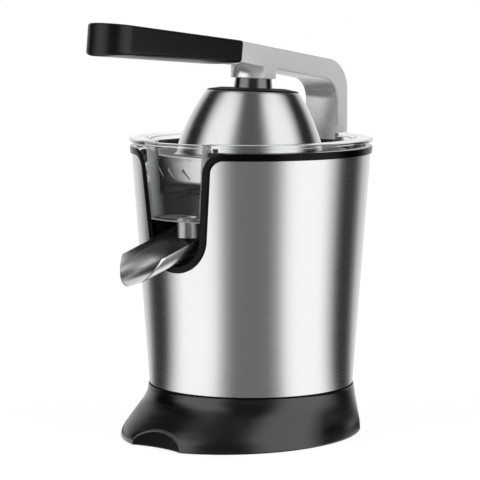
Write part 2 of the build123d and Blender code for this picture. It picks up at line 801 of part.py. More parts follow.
def idler_axle():
    return rod(axle_radius, lower_plate_z - gear_plate, upper_plate_z, idler_x, idler_y)


def gear_face_at(module, teeth, turn):
    """Involute gear outline with one tooth centred on the turn angle, in degrees."""
    pitch, angle = module * teeth / 2, radians(pressure_angle)
    base = pitch * cos(angle)
    root, tip = pitch - dedendum_share * module, pitch + addendum_share * module
    steps = [root, pitch, tip] if root > base else [root, base, pitch, tip]
    half = pi / (2 * teeth) - tooth_play_share * module / (2 * pitch) + tan(angle) - angle
    flank = []
    for radius in steps:
        slant = acos(min(1, base / radius))
        flank.append((radius, half - tan(slant) + slant))
    points = []
    for i in range(teeth):
        middle = radians(turn) + 2 * pi * i / teeth
        points += [(r * cos(middle - a), r * sin(middle - a)) for r, a in flank]
        points += [(r * cos(middle + a), r * sin(middle + a)) for r, a in reversed(flank)]
    return make_face(Polyline(*points, close=True))


def gear(module, teeth, turn, low_z, high_z, x=0, y=0):
    """A spur gear between two heights."""
    return Pos(x, y, low_z) * extrude(gear_face_at(module, teeth, turn), high_z - low_z)


def wheel(module, teeth, turn, low_z, x, y):
    """A spur gear whose web is thinned on both faces, between its rim and its hub."""
    high_z, web = low_z + gear_face, module * teeth / 2 * web_radius_share
    disc = gear(module, teeth, turn, low_z, high_z, x, y)
    hub = gear_hub_radius
    disc -= tube(web, hub, low_z - overrun, low_z + web_recess, x, y)
    return disc - tube(web, hub, high_z - web_recess, high_z + overrun, x, y)


to_idler = degrees(atan2(idler_y - motor_y, idler_x))
to_output = degrees(atan2(-idler_y, -idler_x))
half_pitch = 180 + 180 / wheel_teeth


def motor_pinion():
    pinion = gear(first_module, pinion_teeth, to_idler, first_gear_z, first_gear_z + gear_face, 0,
                  motor_y)
    return pinion - rod(motor_shaft_radius + press_gap, 0, rim_top_z, 0, motor_y)


def idler_gear():
    big = wheel(first_module, wheel_teeth, to_idler + half_pitch, first_gear_z, idler_x, idler_y)
    small_top = second_gear_z + gear_face + gear_hub_high
    small = gear(second_module, pinion_teeth, to_output, first_gear_z + gear_face, small_top, idler_x,
                 idler_y)
    return big + small - rod(axle_radius + run_gap, 0, rim_top_z, idler_x, idler_y)


def output_gear():
    disc = wheel(second_module, wheel_teeth, to_output + half_pitch, second_gear_z, 0, 0)
    disc += rod(gear_hub_radius, second_gear_z, hub_top_z)
    return disc - flatted(shaft_radius + run_gap, shaft_flat + run_gap, 0, rim_top_z)


# Motor and switch

def sector(radius, bore, half_angle, low_z, high_z):
    """A ring sector about the motor's axis, centred on +X."""
    reach = radius / cos(radians(half_angle / 2)) ** 2
    side = (reach * cos(radians(half_angle)), reach * sin(radians(half_angle)))
    wedge = make_face(Polyline((0, 0), (side[0], -side[1]), (reach, -side[1]), (reach, side[1]), side,
                               close=True))
    wedge = Pos(0, 0, low_z) * extrude(wedge, high_z - low_z)
    return tube(radius, bore, low_z, high_z) & wedge


def on_motor(shape):
    """Moves a shape from the drive axis to the motor's axis."""
    return Pos(0, motor_y, 0) * shape


def field_coil(side):
    """One field coil: a loop round its pole, with end turns beyond the stack."""
    loop = sector(coil_out_radius, coil_in_radius, coil_half_angle, stack_low_z - coil_end,
                  stack_top_z + coil_end)
    loop -= sector(coil_out_radius + overrun, coil_in_radius - overrun, pole_half_angle,
                   stack_low_z - seat_gap, stack_top_z + seat_gap)
    return on_motor(Rot(0, 0, 90 - 90 * side) * loop)


def motor_stator():
    core = tube(stator_radius, stator_bore, stack_low_z, stack_top_z)
    for turn in (0, 180):
        slot = sector(coil_out_radius + seat_gap, coil_in_radius - seat_gap, coil_half_angle + coil_play, 0,
                      rim_top_z)
        slot -= sector(stator_radius, stator_bore, pole_half_angle - coil_play, -overrun,
                       rim_top_z + overrun)
        core -= Rot(0, 0, turn) * slot
    for side in (-1, 1):
        lug = rod(motor_lug_radius, stack_low_z, stack_top_z, side * motor_bolt_x)
        core += lug - rod(stator_radius - seat_gap, 0, rim_top_z)
        core -= rod(motor_bolt_radius + press_gap, 0, rim_top_z, side * motor_bolt_x)
    return on_motor(core)


def motor_coils():
    return group([field_coil(side) for side in (-1, 1)])


def motor_bar(low_z):
    """End bar of the motor, with its bearing boss and bolt holes."""
    reach = motor_bolt_x + motor_lug_radius
    bar = block(-reach, reach, -motor_bar_width / 2, motor_bar_width / 2, low_z, low_z + motor_bar_high)
    bar -= rod(bearing_radius + press_gap, 0, rim_top_z)
    for side in (-1, 1):
        bar -= rod(motor_bolt_radius + press_gap, 0, rim_top_z, side * motor_bolt_x)
    return on_motor(bar)


def motor_bearings():
    bore = motor_shaft_radius + run_gap
    return group([on_motor(tube(bearing_radius, bore, low_z, low_z + motor_bar_high))
                  for low_z in (motor_bar_low_z, motor_bar_top_z - motor_bar_high)])


def motor_bolts():
    return group([rod(bolt_head_radius, motor_bar_low_z - bolt_head, motor_bar_low_z,
                      side * motor_bolt_x, motor_y)
                  + rod(motor_bolt_radius, motor_bar_low_z, lower_plate_z, side * motor_bolt_x, motor_y)
                  for side in (-1, 1)])


def brush_holders():
    top_z, start = motor_bar_top_z - motor_bar_high, commutator_radius + brush_gap
    holders = []
    for side in (-1, 1):
        low, high = sorted((motor_y + side * start, motor_y + side * (start + brush_length)))
        holders.append(block(-brush_width / 2, brush_width / 2, low, high, top_z - brush_width, top_z))
    return group(holders)


def rotor_core():
    core = tube(rotor_radius, motor_shaft_radius + press_gap, stack_low_z, stack_top_z)
    slot = block(rotor_radius - rotor_slot_depth, rotor_radius + overrun, -rotor_slot_width / 2,
                 rotor_slot_width / 2, stack_low_z - overrun, stack_top_z + overrun)
    core -= [Rot(0, 0, 360 * i / rotor_slots) * slot for i in range(rotor_slots)]
    return on_motor(core)


def rotor_shaft():
    return rod(motor_shaft_radius, motor_shaft_low_z, first_gear_z + gear_face, 0, motor_y)


def commutator():
    top_z = commutator_low_z + commutator_high
    return on_motor(tube(commutator_radius, motor_shaft_radius + press_gap, commutator_low_z, top_z))


def cooling_fan():
    top_z = motor_bar_low_z - gear_side_gap
    low_z = top_z - fan_high
    fan = rod(fan_hub_radius, low_z, top_z) + rod(fan_radius, top_z - fan_disc, top_z)
    blade = block(fan_blade_start, fan_radius, -fan_blade / 2, fan_blade / 2, low_z, top_z - fan_disc)
    for i in range(fan_blades):
        fan += Rot(0, 0, 360 * i / fan_blades) * blade
    return on_motor(fan - rod(motor_shaft_radius + press_gap, 0, rim_top_z))


def micro_switch():
    top_z = switch_low_z + switch_high
    body = block(-switch_half_x, switch_half_x, -switch_half_y, switch_half_y, switch_low_z, top_z)
    for side in (-1, 1):
        body += rod(switch_leg_radius, switch_low_z, lower_plate_z - gear_plate, side * switch_leg_x)
    plunger_low = shaft_low_z - plunger_gap - plunger_length
    return body - rod(plunger_radius + run_gap, plunger_low - stroke - plunger_gap, top_z + overrun)


def switch_plunger():
    top_z = shaft_low_z - plunger_gap
    return rod(plunger_radius, top_z - plunger_length, top_z)


# Lever

def side_face(points, radii):
    """A closed outline of (y, z) points in the lever's plane."""
    return make_face(Plane.YZ * FilletPolyline(*points, radius=radii, close=True))


def press_place(z=0):
    """Place on the press axis, at a height above the dome's top."""
    return Pos(0, press_y, press_z) * Rot(-press_lean, 0, 0) * Pos(0, 0, z)


def grip_place():
    """Place of the grip's rear end, its local -Y along the grip."""
    middle_z = arm_top_z - grip_thick / 2 + seat_gap
    return Pos(0, -arm_front_y, middle_z) * Rot(-grip_rise, 0, 0)


def press_boss():
    """Boss over the dome: a round front and flat sides that lie flush with the arm."""
    side_y = -sqrt(boss_radius ** 2 - arm_half ** 2)
    left, right = (-arm_half, side_y), (arm_half, side_y)
    front = ThreePointArc(left, (0, -boss_radius), right)
    rear = Polyline(right, (arm_half, boss_rear), (-arm_half, boss_rear), left)
    boss = extrude(make_face([front, rear]), arm_thick)
    return press_place(boss_drop_z) * chamfer(boss.faces().sort_by(Axis.Z)[0].edges(), boss_edge)


def lever_arm():
    drop = arm_thick / cos(radians(arm_fall))
    inner_y = post_rear_y - post_thick
    inner_z = slope_z + post_thick * tan(radians(arm_fall)) - drop
    start_y, start_z = -arm_front_y - overrun, arm_top_z + overrun * tan(radians(arm_fall))
    outline = side_face([(start_y, start_z), (post_rear_y, slope_z), (post_rear_y, hinge_z),
                         (inner_y, hinge_z), (inner_y, inner_z), (start_y, start_z - drop)],
                        [0, bend_outer, 0, 0, bend_inner, 0])
    arm = extrude(outline, arm_half, both=True)
    sides = arm.faces().sort_by(Axis.X)
    arm = chamfer(sides[0].edges() + sides[-1].edges(), arm_edge)
    arm -= grip_place() * block(-2 * arm_half, 2 * arm_half, -tang_length, seat_gap, -tang_length,
                                tang_length)
    arm += cross_rod(post_thick / 2, -arm_half, arm_half, hinge_y, hinge_z)
    arm -= cross_rod(hinge_bush_radius + press_gap, -front_reach, front_reach, hinge_y, hinge_z)
    arm += press_boss()
    arm += grip_place() * block(-tang_half, tang_half, -tang_length, overrun, -tang_high / 2,
                                tang_high / 2)
    arm -= press_place(boss_drop_z) * rod(neck_stud_radius + press_gap, -overrun, neck_stud)
    arm -= press_place(boss_drop_z) * rod(dome_screw_radius + press_gap, 0, neck_stud + dome_screw_reach)
    for share in grip_screw_share:
        arm -= grip_place() * rod(screw_radius + press_gap, -overrun - tang_high, tang_high, 0,
                                  -share * tang_length)
    return arm


def grip_low(spot):
    """Height of the grip's underside at a place along it, in the grip's own frame."""
    return spot * tan(radians(grip_taper)) - grip_thick / 2


def grip_blank():
    """The grip's solid form: a rounded plan, a belly along its underside and rolled edges."""
    half, low = grip_half, grip_low(-grip_length)
    plan = FilletPolyline((-half, 0), (half, 0), (half, -grip_length), (-half, -grip_length),
                          radius=[0, 0, grip_tip_radius, grip_tip_radius], close=True)
    bar = Pos(0, 0, low) * extrude(make_face(plan), grip_thick / 2 - low, dir=(0, 0, 1))
    belly = (half ** 2 + grip_crown ** 2) / (2 * grip_crown)
    drum = Rot(90, 0, 0) * Cylinder(belly, grip_length + 4 * overrun, align=ON_TOP)
    bar &= Pos(0, 0, grip_low(0)) * Rot(grip_taper, 0, 0) * Pos(0, 2 * overrun, belly) * drum
    faces = bar.faces().sort_by(Axis.Z)
    return fillet(faces[0].edges() + faces[-1].edges(), grip_corner)


def handle_grip():
    bar = grip_blank()
    bar -= block(-tang_half - seat_gap, tang_half + seat_gap, -tang_length - seat_gap, overrun,
                 -tang_high / 2 - seat_gap, tang_high / 2 + seat_gap)
    for share in grip_screw_share:
        spot = -share * tang_length
        bar -= rod(screw_radius + press_gap, -grip_thick, 0, 0, spot)
        seat_z = grip_low(spot) + screw_head + seat_gap
        bar -= rod(screw_head_radius + seat_gap, -grip_thick, seat_z, 0, spot)
    return grip_place() * bar


def grip_screws():
    screws = []
    for share in grip_screw_share:
        spot = -share * tang_length
        head_z = grip_low(spot) + seat_gap
        seat_z = head_z + screw_head
        screws.append(grip_place() * (rod(screw_head_radius, head_z, seat_z, 0, spot)
                                      + rod(screw_radius, seat_z, tang_high / 2, 0, spot)))
    return group(screws)


def hinge_bushes():
    bushes = []
    for side in (-1, 1):
        low, high = sorted((side * arm_half, side * (arm_half - hinge_bush_length)))
        bushes.append(cross_rod(hinge_bush_radius, low, high, hinge_y, hinge_z)
                      - cross_rod(hinge_pin_radius + run_gap, -front_reach, front_reach, hinge_y,
                                  hinge_z))
    return group(bushes)


def press_neck():
    neck = turned([(0, cap_thick), (neck_low_radius, cap_thick), (neck_radius, boss_drop_z),
                   (0, boss_drop_z)])
    neck += rod(cap_radius, 0, cap_thick) + rod(neck_stud_radius, -dome_sheet, boss_drop_z + neck_stud)
    return press_place() * (neck - rod(dome_screw_radius + press_gap, -front_reach, front_reach))


def dome_side(inset):
    """Side arc of the dome from its shoulder to its lip, moved in by an inset."""
    top, low = (dome_top_radius - inset, -inset), (dome_low_radius - inset, -dome_deep)
    run = hypot(low[0] - top[0], low[1] - top[1])
    out = ((top[1] - low[1]) / run, (low[0] - top[0]) / run)
    middle = ((top[0] + low[0]) / 2 + dome_swell * out[0], (top[1] + low[1]) / 2 + dome_swell * out[1])
    return ThreePointArc(top, middle, low)


def dome_solid(inset):
    """Solid of revolution under the dome's side and top."""
    side = dome_side(inset)
    face = make_face([side, Polyline(side @ 1, (0, -dome_deep), (0, -inset), side @ 0)])
    shoulder = face.vertices().sort_by_distance((dome_top_radius, 0))[0]
    return revolve(Plane.XZ * fillet(shoulder, dome_shoulder - inset), Axis.Z)


def press_dome():
    lip_low = -dome_deep
    dome = dome_solid(0) + rod(dome_low_radius + dome_lip, lip_low, lip_low + dome_lip_high)
    dome -= dome_solid(dome_sheet)
    return press_place() * (dome - rod(neck_stud_radius + press_gap, -overrun, overrun))


def dome_retainer():
    plate = rod(retainer_radius, -dome_sheet - retainer_thick, -dome_sheet)
    return press_place() * (plate - rod(dome_screw_radius + press_gap, -front_reach, front_reach))


def dome_screw():
    seat = -dome_sheet - retainer_thick
    screw = rod(dome_screw_head_radius, seat - dome_screw_head, seat)
    screw += rod(dome_screw_radius, seat, boss_drop_z + neck_stud + dome_screw_reach)
    return press_place() * screw


# Hinge

def hinge_bracket():
    top_z, rear_y = band_top_z, front_reach
    outer = block(-cheek_half, cheek_half, hinge_front_y, rear_y, bracket_low_z, top_z)
    inner_half = arm_half + swing_gap
    outer -= block(-inner_half, inner_half, hinge_front_y + cheek_front, rear_y + overrun,
                   bracket_low_z + cheek_floor, top_z + overrun)
    outer &= body_cone(trim_proud, bracket_low_z, top_z)
    outer -= cross_rod(hinge_pin_radius + press_gap, -front_reach, front_reach, hinge_y, hinge_z)
    for side in (-1, 1):
        outer -= rod(bracket_screw_radius + press_gap, 0, rim_top_z, side * bracket_screw_x,
                     bracket_screw_y)
    return outer


def bracket_screws():
    top_z = bracket_low_z + cheek_floor
    return group([rod(bracket_screw_radius, top_z - bracket_screw_length, top_z, side * bracket_screw_x,
                      bracket_screw_y) for side in (-1, 1)])


def hinge_pin():
    return cross_rod(hinge_pin_radius, -cheek_half, cheek_half, hinge_y, hinge_z)


# Spout

def spout():
    slope = radians(spout_slope)
    outer, rise = spout_bore + spout_sheet, sqrt(spout_bore ** 2 - spout_half ** 2)
    length = (spout_tip_y - spout_back_y) / cos(slope) + 2 * outer
    middle = (0, -spout_tip_y - spout_bore * sin(slope), spout_tip_z + spout_bore * cos(slope))
    along = Plane(origin=middle, x_dir=(-1, 0, 0), z_dir=(0, cos(slope), sin(slope)))
    pipe = along * (rod(outer, -outer, length) - rod(spout_bore, -outer - overrun, length + overrun))
    pipe -= along * block(-outer, outer, -rise, outer, -2 * outer, length + outer)
    plan = block(-outer, outer, outer - spout_tip_y, -spout_back_y, 0, rim_top_z)
    plan += rod(outer, 0, rim_top_z, 0, outer - spout_tip_y)
    pipe &= plan
    for side in (-1, 1):
        low, high = sorted((side * (outer - spout_ear), side * outer))
        pipe += cross_rod(spout_ear_radius, low, high, -spout_hinge_y, spout_hinge_z)
    return pipe - cross_rod(spout_pin_radius + run_gap, -outer - overrun, outer + overrun,
                            -spout_hinge_y, spout_hinge_z)


def spout_pins():
    wall_x = cutout_side(spout_hinge_z, trim_width - niche_wall)
    start = spout_bore + spout_sheet - spout_ear
    pins = []
    for side in (-1, 1):
        low, high = sorted((side * start, side * wall_x))
        pins.append(cross_rod(spout_pin_radius, low, high, -spout_hinge_y, spout_hinge_z))
    return group(pins)


nodes = {
    "base_skirt": base_skirt, "base_plate": base_plate, "feet": feet, "plate_screws": plate_screws,
    "post_screws": post_screws, "cord_gland": cord_gland, "body_shell": body_shell, "rim_trim": rim_trim,
    "inner_tub": inner_tub, "spout_niche": spout_niche, "body_posts": body_posts,
    "shaft_seal": shaft_seal, "collector": collector, "outlet_nozzle": outlet_nozzle, "sieve": sieve,
    "juicing_cone": juicing_cone, "drive_shaft": drive_shaft, "shaft_collar": shaft_collar,
    "stroke_spring": stroke_spring, "gear_plate_lower": gear_plate_lower,
    "gear_plate_upper": lambda: gear_plate_at(upper_plate_z), "plate_pillars": plate_pillars,
    "drive_bolts": drive_bolts, "shaft_bushes": shaft_bushes, "idler_axle": idler_axle,
    "motor_pinion": motor_pinion, "idler_gear": idler_gear, "output_gear": output_gear,
    "motor_stator": motor_stator, "motor_coils": motor_coils,
    "motor_bracket_top": lambda: motor_bar(motor_bar_top_z - motor_bar_high),
    "motor_bracket_bottom": lambda: motor_bar(motor_bar_low_z), "motor_bearings": motor_bearings,
    "motor_bolts": motor_bolts, "brush_holders": brush_holders, "rotor_core": rotor_core,
    "rotor_shaft": rotor_shaft, "commutator": commutator, "cooling_fan": cooling_fan,
    "micro_switch": micro_switch, "switch_plunger": switch_plunger, "lever_arm": lever_arm,
    "handle_grip": handle_grip, "grip_screws": grip_screws, "hinge_bushes": hinge_bushes,
    "press_neck": press_neck, "press_dome": press_dome, "dome_retainer": dome_retainer,
    "dome_screw": dome_screw, "hinge_bracket": hinge_bracket, "bracket_screws": bracket_screws,
    "hinge_pin": hinge_pin, "spout": spout, "spout_pins": spout_pins,
}

os.makedirs("parts", exist_ok=True)
for name, make in nodes.items():
    export_step(make(), f"parts/{name}.step")
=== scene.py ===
"""Electric citrus juicer with a press lever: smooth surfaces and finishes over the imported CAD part.

Lengths in the tables and grids are millimetres; pieces are written to Blender in metres.
Grids are numpy arrays of points, rows by columns, with no loop over vertices.
"""

import json
from math import asin, cos, pi, radians, sin, tan

import bmesh
import bpy
import numpy as np
from mathutils import Matrix


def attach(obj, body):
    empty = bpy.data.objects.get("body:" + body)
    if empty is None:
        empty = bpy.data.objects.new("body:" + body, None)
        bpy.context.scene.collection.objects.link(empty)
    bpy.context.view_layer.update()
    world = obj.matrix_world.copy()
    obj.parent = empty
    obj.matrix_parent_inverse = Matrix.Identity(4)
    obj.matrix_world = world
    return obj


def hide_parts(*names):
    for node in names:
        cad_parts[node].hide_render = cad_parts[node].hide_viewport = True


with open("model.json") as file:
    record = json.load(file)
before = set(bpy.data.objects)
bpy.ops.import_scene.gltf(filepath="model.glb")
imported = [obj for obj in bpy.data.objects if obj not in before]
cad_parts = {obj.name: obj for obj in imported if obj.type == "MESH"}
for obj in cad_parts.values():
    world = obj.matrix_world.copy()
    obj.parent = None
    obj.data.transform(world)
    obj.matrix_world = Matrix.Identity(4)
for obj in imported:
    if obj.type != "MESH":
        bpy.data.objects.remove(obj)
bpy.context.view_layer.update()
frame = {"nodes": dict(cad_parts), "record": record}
nodes = frame["nodes"]
MM = 0.001

# Sizes: those of the CAD source, apart from the painted shadow ring over the collar's joint and the cap's edge over the
# dome

# Sleeve: heights of its edges, its sheet and its outer radii
SHELL_LOW, SHELL_TOP, SHELL_SHEET = 29.0, 206.7, 0.8
SHELL_LOW_R, SHELL_TOP_R = 74.5, 87.6
# Cut-out at the front: lowest height, half width and lean of its sides, radii of corner and flare, and the length of
# line beyond the flare that gives it its direction
CUT_LOW, CUT_HALF, CUT_LEAN = 124.7, 25.2, radians(6.0)
CUT_CORNER, CUT_FLARE, CUT_RUN = 27.0, 10.0, 22
# Trim on the sleeve's edge, with its section's corner radii
TRIM_WIDTH, TRIM_PROUD, TRIM_DEPTH = 5.3, 1.2, 4.0
TRIM_CORNERS = (0.6, 1.1, 0.5, 0.4)
# Slot for the hinge at the rear
SLOT_HALF, SLOT_LOW = 19.55, 186.3
# Base, and a dark ring over the joint above its collar: painted shadow in place of the gap's shade
BASE_TOP, BASE_FOOT, BASE_WALL = 36.0, 0.4, 2.5
SHADOW_RING_HIGH, SHADOW_RING_PROUD, SHADOW_RING_LAP = 1.1, 0.25, 0.2
BASE_COLLAR, BASE_HALF, BASE_REACH, BASE_AHEAD = 76.0, 82.4, 95.8, 10.9
# Shares of the way from the base's collar to its foot: height, width, length and forward shift
BASE_SHARES = np.array([(0, 0, 0, 0), (0.14, 0, 0.08, 0), (0.28, 0.03, 0.25, 0.11), (0.45, 0.16, 0.52, 0.37),
                        (0.65, 0.39, 0.81, 0.68), (0.84, 0.75, 0.99, 0.92), (1, 1, 1, 1)])
SCALLOP_R, SCALLOP_Y = 75.0, -173.9
# Dome, cap and neck, turned about the press axis
PRESS = Matrix.Translation((0, 2.0, 252.3)) @ Matrix.Rotation(radians(-3.5), 4, "X")
PRESS_BORE = 6.0
DOME_TOP_R, DOME_LOW_R, DOME_DEEP, DOME_SWELL, DOME_SHOULDER, DOME_SHEET = 33.29, 55.59, 50.0, 2.4, 2.5, 1.0
DOME_LIP, DOME_LIP_HIGH, DOME_LIP_ROUND = 1.2, 1.6, 0.6
CAP_R, CAP_THICK, NECK_LOW_R, NECK_R, NECK_TOP, NECK_ROUND = 30.59, 1.4, 14.3, 13.6, 8.4, 0.3
# Width of the cap's slope to its edge, its height over the dome, its depth in the sheet and the last row it follows
CAP_SLOPE, CAP_OVER, CAP_UNDER, CAP_LAST = 7, 0.12, 0.1, 6
# Grip, in the frame of its own top and bottom
GRIP = Matrix.Translation((0, -30.0, 280.4)) @ Matrix.Rotation(radians(-6.6), 4, "X")
GRIP_HALF, GRIP_THICK, GRIP_LENGTH, GRIP_CROWN = 18.6, 18.1, 131.0, 2.6
GRIP_CORNER, GRIP_TIP_R, GRIP_REAR_R, GRIP_LEAST_R, GRIP_TAPER = 2.2, 18.0, 1.0, 0.02, radians(2.2)
# Insets of the plan outlines that fill the grip's top and belly; the innermost is drawn together to a line
GRIP_MIDDLE = GRIP_HALF - 0.03
GRIP_TOP_INSETS, GRIP_BELLY_INSETS = (GRIP_MIDDLE, 14, 8, 4), (4, 7, 10, 13, 16, GRIP_MIDDLE)
# Spout and its ears
SPOUT_R, SPOUT_SHEET, SPOUT_RISE, SPOUT_SLOPE = 20.1, 0.8, 5.26, radians(16.0)
SPOUT_TIP_Y, SPOUT_TIP_Z, SPOUT_BACK_Y = -129.0, 120.5, -58.0
EAR_Y, EAR_Z, EAR_R, EAR_BORE, EAR_THICK = -64.0, 149.5, 4.4, 2.05, 3.2
# Clear collector: rim with the inner end of its section, window, bowl with its chimney, bay, ledge for the sieve and
# notch for the hinge
RIM_R, RIM_LOW, RIM_TOP, RIM_EDGE, RIM_START = 89.4, 215.2, 217.8, 0.7, 80
PANE_TOP, PANE_GAP, PANE_PROUD = 212.0, 0.4, 0.3
BOWL_R, BOWL_FLOOR, CLEAR_WALL, CHIMNEY_R, CHIMNEY_TOP = 77.49, 178.5, 2.0, 17.0, 197.0
BAY_LOW, BAY_BACK = 162.0, -56.0
LEDGE_LOW, LEDGE_TOP, LEDGE_WIDTH = 204.5, 206.5, 2.0
NOTCH_HALF, NOTCH_LOW = 19.8, 207.0
# Nozzle under the bay, its clearances at the floor and in the hole, and the hole's reach below and above the floor
NOZZLE_Y, NOZZLE_R, NOZZLE_NECK, NOZZLE_BORE, NOZZLE_LOW = -68.0, 9.0, 8.0, 7.0, 149.5
NOZZLE_SEAT, NOZZLE_FIT, NOZZLE_CORNERS = 0.05, 0.02, (0.4, 0.6, 0.4, 0, 0.2, 0.2)
DRILL_BELOW, DRILL_ABOVE = 3, 5


# Materials

# Range that holds nearly all values of a noise
NOISE_RANGE = (0.3, 0.7)
# Brushed lines: length in millimetres, spread of the roughness and the darkest line's shade
LINE_LENGTH, LINE_SPREAD, LINE_SHADE = 50.0, 0.15, 0.95
# Cast arm: parts of the normal along X between which the sides start and along Y between which the fronts do, the
# fronts' metal share, the spread of the roughness and the depth of the grain in millimetres
CAST_SIDES, CAST_FRONTS, CAST_BARE = (0.93, 0.98), (0.7, 0.95), 0.85
CAST_SPREAD, CAST_DEPTH = 0.12, 0.03
# Clear moulding: width of its flow marks in millimetres and their roughness
FLOW_WIDTH, FLOW_ROUGH = 9.0, (0.01, 0.03)
# Painted reflection: a pale haze put on the bay's sides and floor in place of the bright light they mirror. Parts of
# the normal along X between which it starts, its strength on the floor and the height in which it ends there
PAINTED_REFLECTION_SIDES, PAINTED_REFLECTION_FLOOR, PAINTED_REFLECTION_END = (0.96, 0.985), 0.6, 0.5
# Refractive index of the rim and the height under it in which the index falls
RIM_INDEX, RIM_FALL = 1.49, 3


def colour(code):
    """Linear colour of an sRGB hex code."""
    c = np.array([int(code[i:i + 2], 16) for i in (1, 3, 5)]) / 255
    return (*np.where(c <= 0.04045, c / 12.92, ((c + 0.055) / 1.055) ** 2.4), 1.0)


def add(tree, kind, inputs=None, **settings):
    """Adds a node with its settings; an input that is a socket is linked, any other is set."""
    node = tree.nodes.new(kind)
    for key, value in settings.items():
        setattr(node, key, value)
    for key, value in (inputs or {}).items():
        if isinstance(value, bpy.types.NodeSocket):
            tree.links.new(value, node.inputs[key])
        else:
            node.inputs[key].default_value = value
    return node


def ramped(tree, value, start, end, low=0.0, high=1.0):
    """Socket of a value whose range from start to end becomes low to high, held beyond both ends."""
    return add(tree, "ShaderNodeMapRange", {"Value": value, "From Min": start, "From Max": end, "To Min": low,
                                            "To Max": high}).outputs[0]


def maths(tree, operation, *values):
    """Socket of one operation on sockets and numbers."""
    return add(tree, "ShaderNodeMath", dict(enumerate(values)), operation=operation).outputs[0]


def split(tree, vector):
    """Sockets of a vector's X, Y and Z."""
    return add(tree, "ShaderNodeSeparateXYZ", {0: vector}).outputs


def lifted(tree, height, depth_mm):
    """Socket of the normal on a relief of a depth."""
    return add(tree, "ShaderNodeBump", {"Height": height, "Strength": 1.0, "Distance": depth_mm * MM}).outputs[0]


def material(name, build):
    """A new material whose output is the shader that build(tree) returns."""
    made = bpy.data.materials.new(name)
    made.use_nodes = True
    made.node_tree.nodes.clear()
    shader = build(made.node_tree)
    add(made.node_tree, "ShaderNodeOutputMaterial", {"Surface": shader.outputs[0]})
    return made


def grained(code, roughness, grain_mm, depth_mm, spread=0.15, metallic=0.0, more=None):
    """A finish with an even grain: noise of one grain size moves the roughness by a spread and lifts the surface."""
    def build(tree):
        place = add(tree, "ShaderNodeTexCoord").outputs["Object"]
        noise = add(tree, "ShaderNodeTexNoise", {"Vector": place, "Scale": 1 / (grain_mm * MM), "Detail": 2.0,
                                                 "Roughness": 0.55}).outputs[0]
        rough = ramped(tree, noise, *NOISE_RANGE, roughness * (1 - spread), roughness * (1 + spread))
        return add(tree, "ShaderNodeBsdfPrincipled", {
            "Base Color": colour(code), "Roughness": rough, "Metallic": metallic,
            "Normal": lifted(tree, noise, depth_mm), **(more or {})})
    return build


def brushed(code, roughness, stretch, line_mm, depth_mm, metallic=1.0, more=None):
    """A face worked round its axis: fine lines along the map's first direction, highlights drawn out across them."""
    def build(tree):
        place = add(tree, "ShaderNodeUVMap", uv_map="mm")
        lines = add(tree, "ShaderNodeMapping", {"Vector": place.outputs[0],
                                                "Scale": (1 / LINE_LENGTH, 1 / line_mm, 1)})
        noise = add(tree, "ShaderNodeTexNoise", {"Vector": lines.outputs[0], "Scale": 1.0, "Detail": 3.0,
                                                 "Roughness": 0.6}).outputs[0]
        rough = ramped(tree, noise, *NOISE_RANGE, roughness * (1 - LINE_SPREAD), roughness * (1 + LINE_SPREAD))
        shade = ramped(tree, noise, *NOISE_RANGE, LINE_SHADE, 1.0)
        tone = add(tree, "ShaderNodeMix", {0: 1.0, 6: colour(code), 7: shade}, data_type="RGBA",
                   blend_type="MULTIPLY")
        tangent = add(tree, "ShaderNodeTangent", direction_type="UV_MAP", uv_map="mm")
        return add(tree, "ShaderNodeBsdfPrincipled", {
            "Base Color": tone.outputs[2], "Metallic": metallic, "Roughness": rough, "Anisotropic": stretch,
            "Anisotropic Rotation": 0.25, "Tangent": tangent.outputs[0],
            "Normal": lifted(tree, noise, depth_mm), **(more or {})})
    return build


def cast_and_linished(side, face, grain_mm):
    """Die-cast arm: blasted grain on its two sides, where the normal lies along X, and linished faces between. Side
    and face each give a colour, a roughness and a metal share."""
    def build(tree):
        place = add(tree, "ShaderNodeTexCoord").outputs
        noise = add(tree, "ShaderNodeTexNoise", {"Vector": place["Object"], "Scale": 1 / (grain_mm * MM),
                                                 "Detail": 2.0}).outputs[0]
        normal = split(tree, place["Normal"])
        share = ramped(tree, maths(tree, "ABSOLUTE", normal[0]), *CAST_SIDES)
        tone = add(tree, "ShaderNodeMix", {0: share, 6: colour(face[0]), 7: colour(side[0])}, data_type="RGBA")
        wave = ramped(tree, noise, *NOISE_RANGE, 1 - CAST_SPREAD, 1 + CAST_SPREAD)
        rough = maths(tree, "MULTIPLY", ramped(tree, share, 0.0, 1.0, face[1], side[1]), wave)
        bare = ramped(tree, maths(tree, "ABSOLUTE", normal[1]), *CAST_FRONTS, face[2], CAST_BARE)
        metal = add(tree, "ShaderNodeMix", {0: share, 2: bare, 3: side[2]})
        return add(tree, "ShaderNodeBsdfPrincipled", {
            "Base Color": tone.outputs[2], "Metallic": metal.outputs[0], "Roughness": rough,
            "Normal": lifted(tree, maths(tree, "MULTIPLY", noise, share), CAST_DEPTH)})
    return build


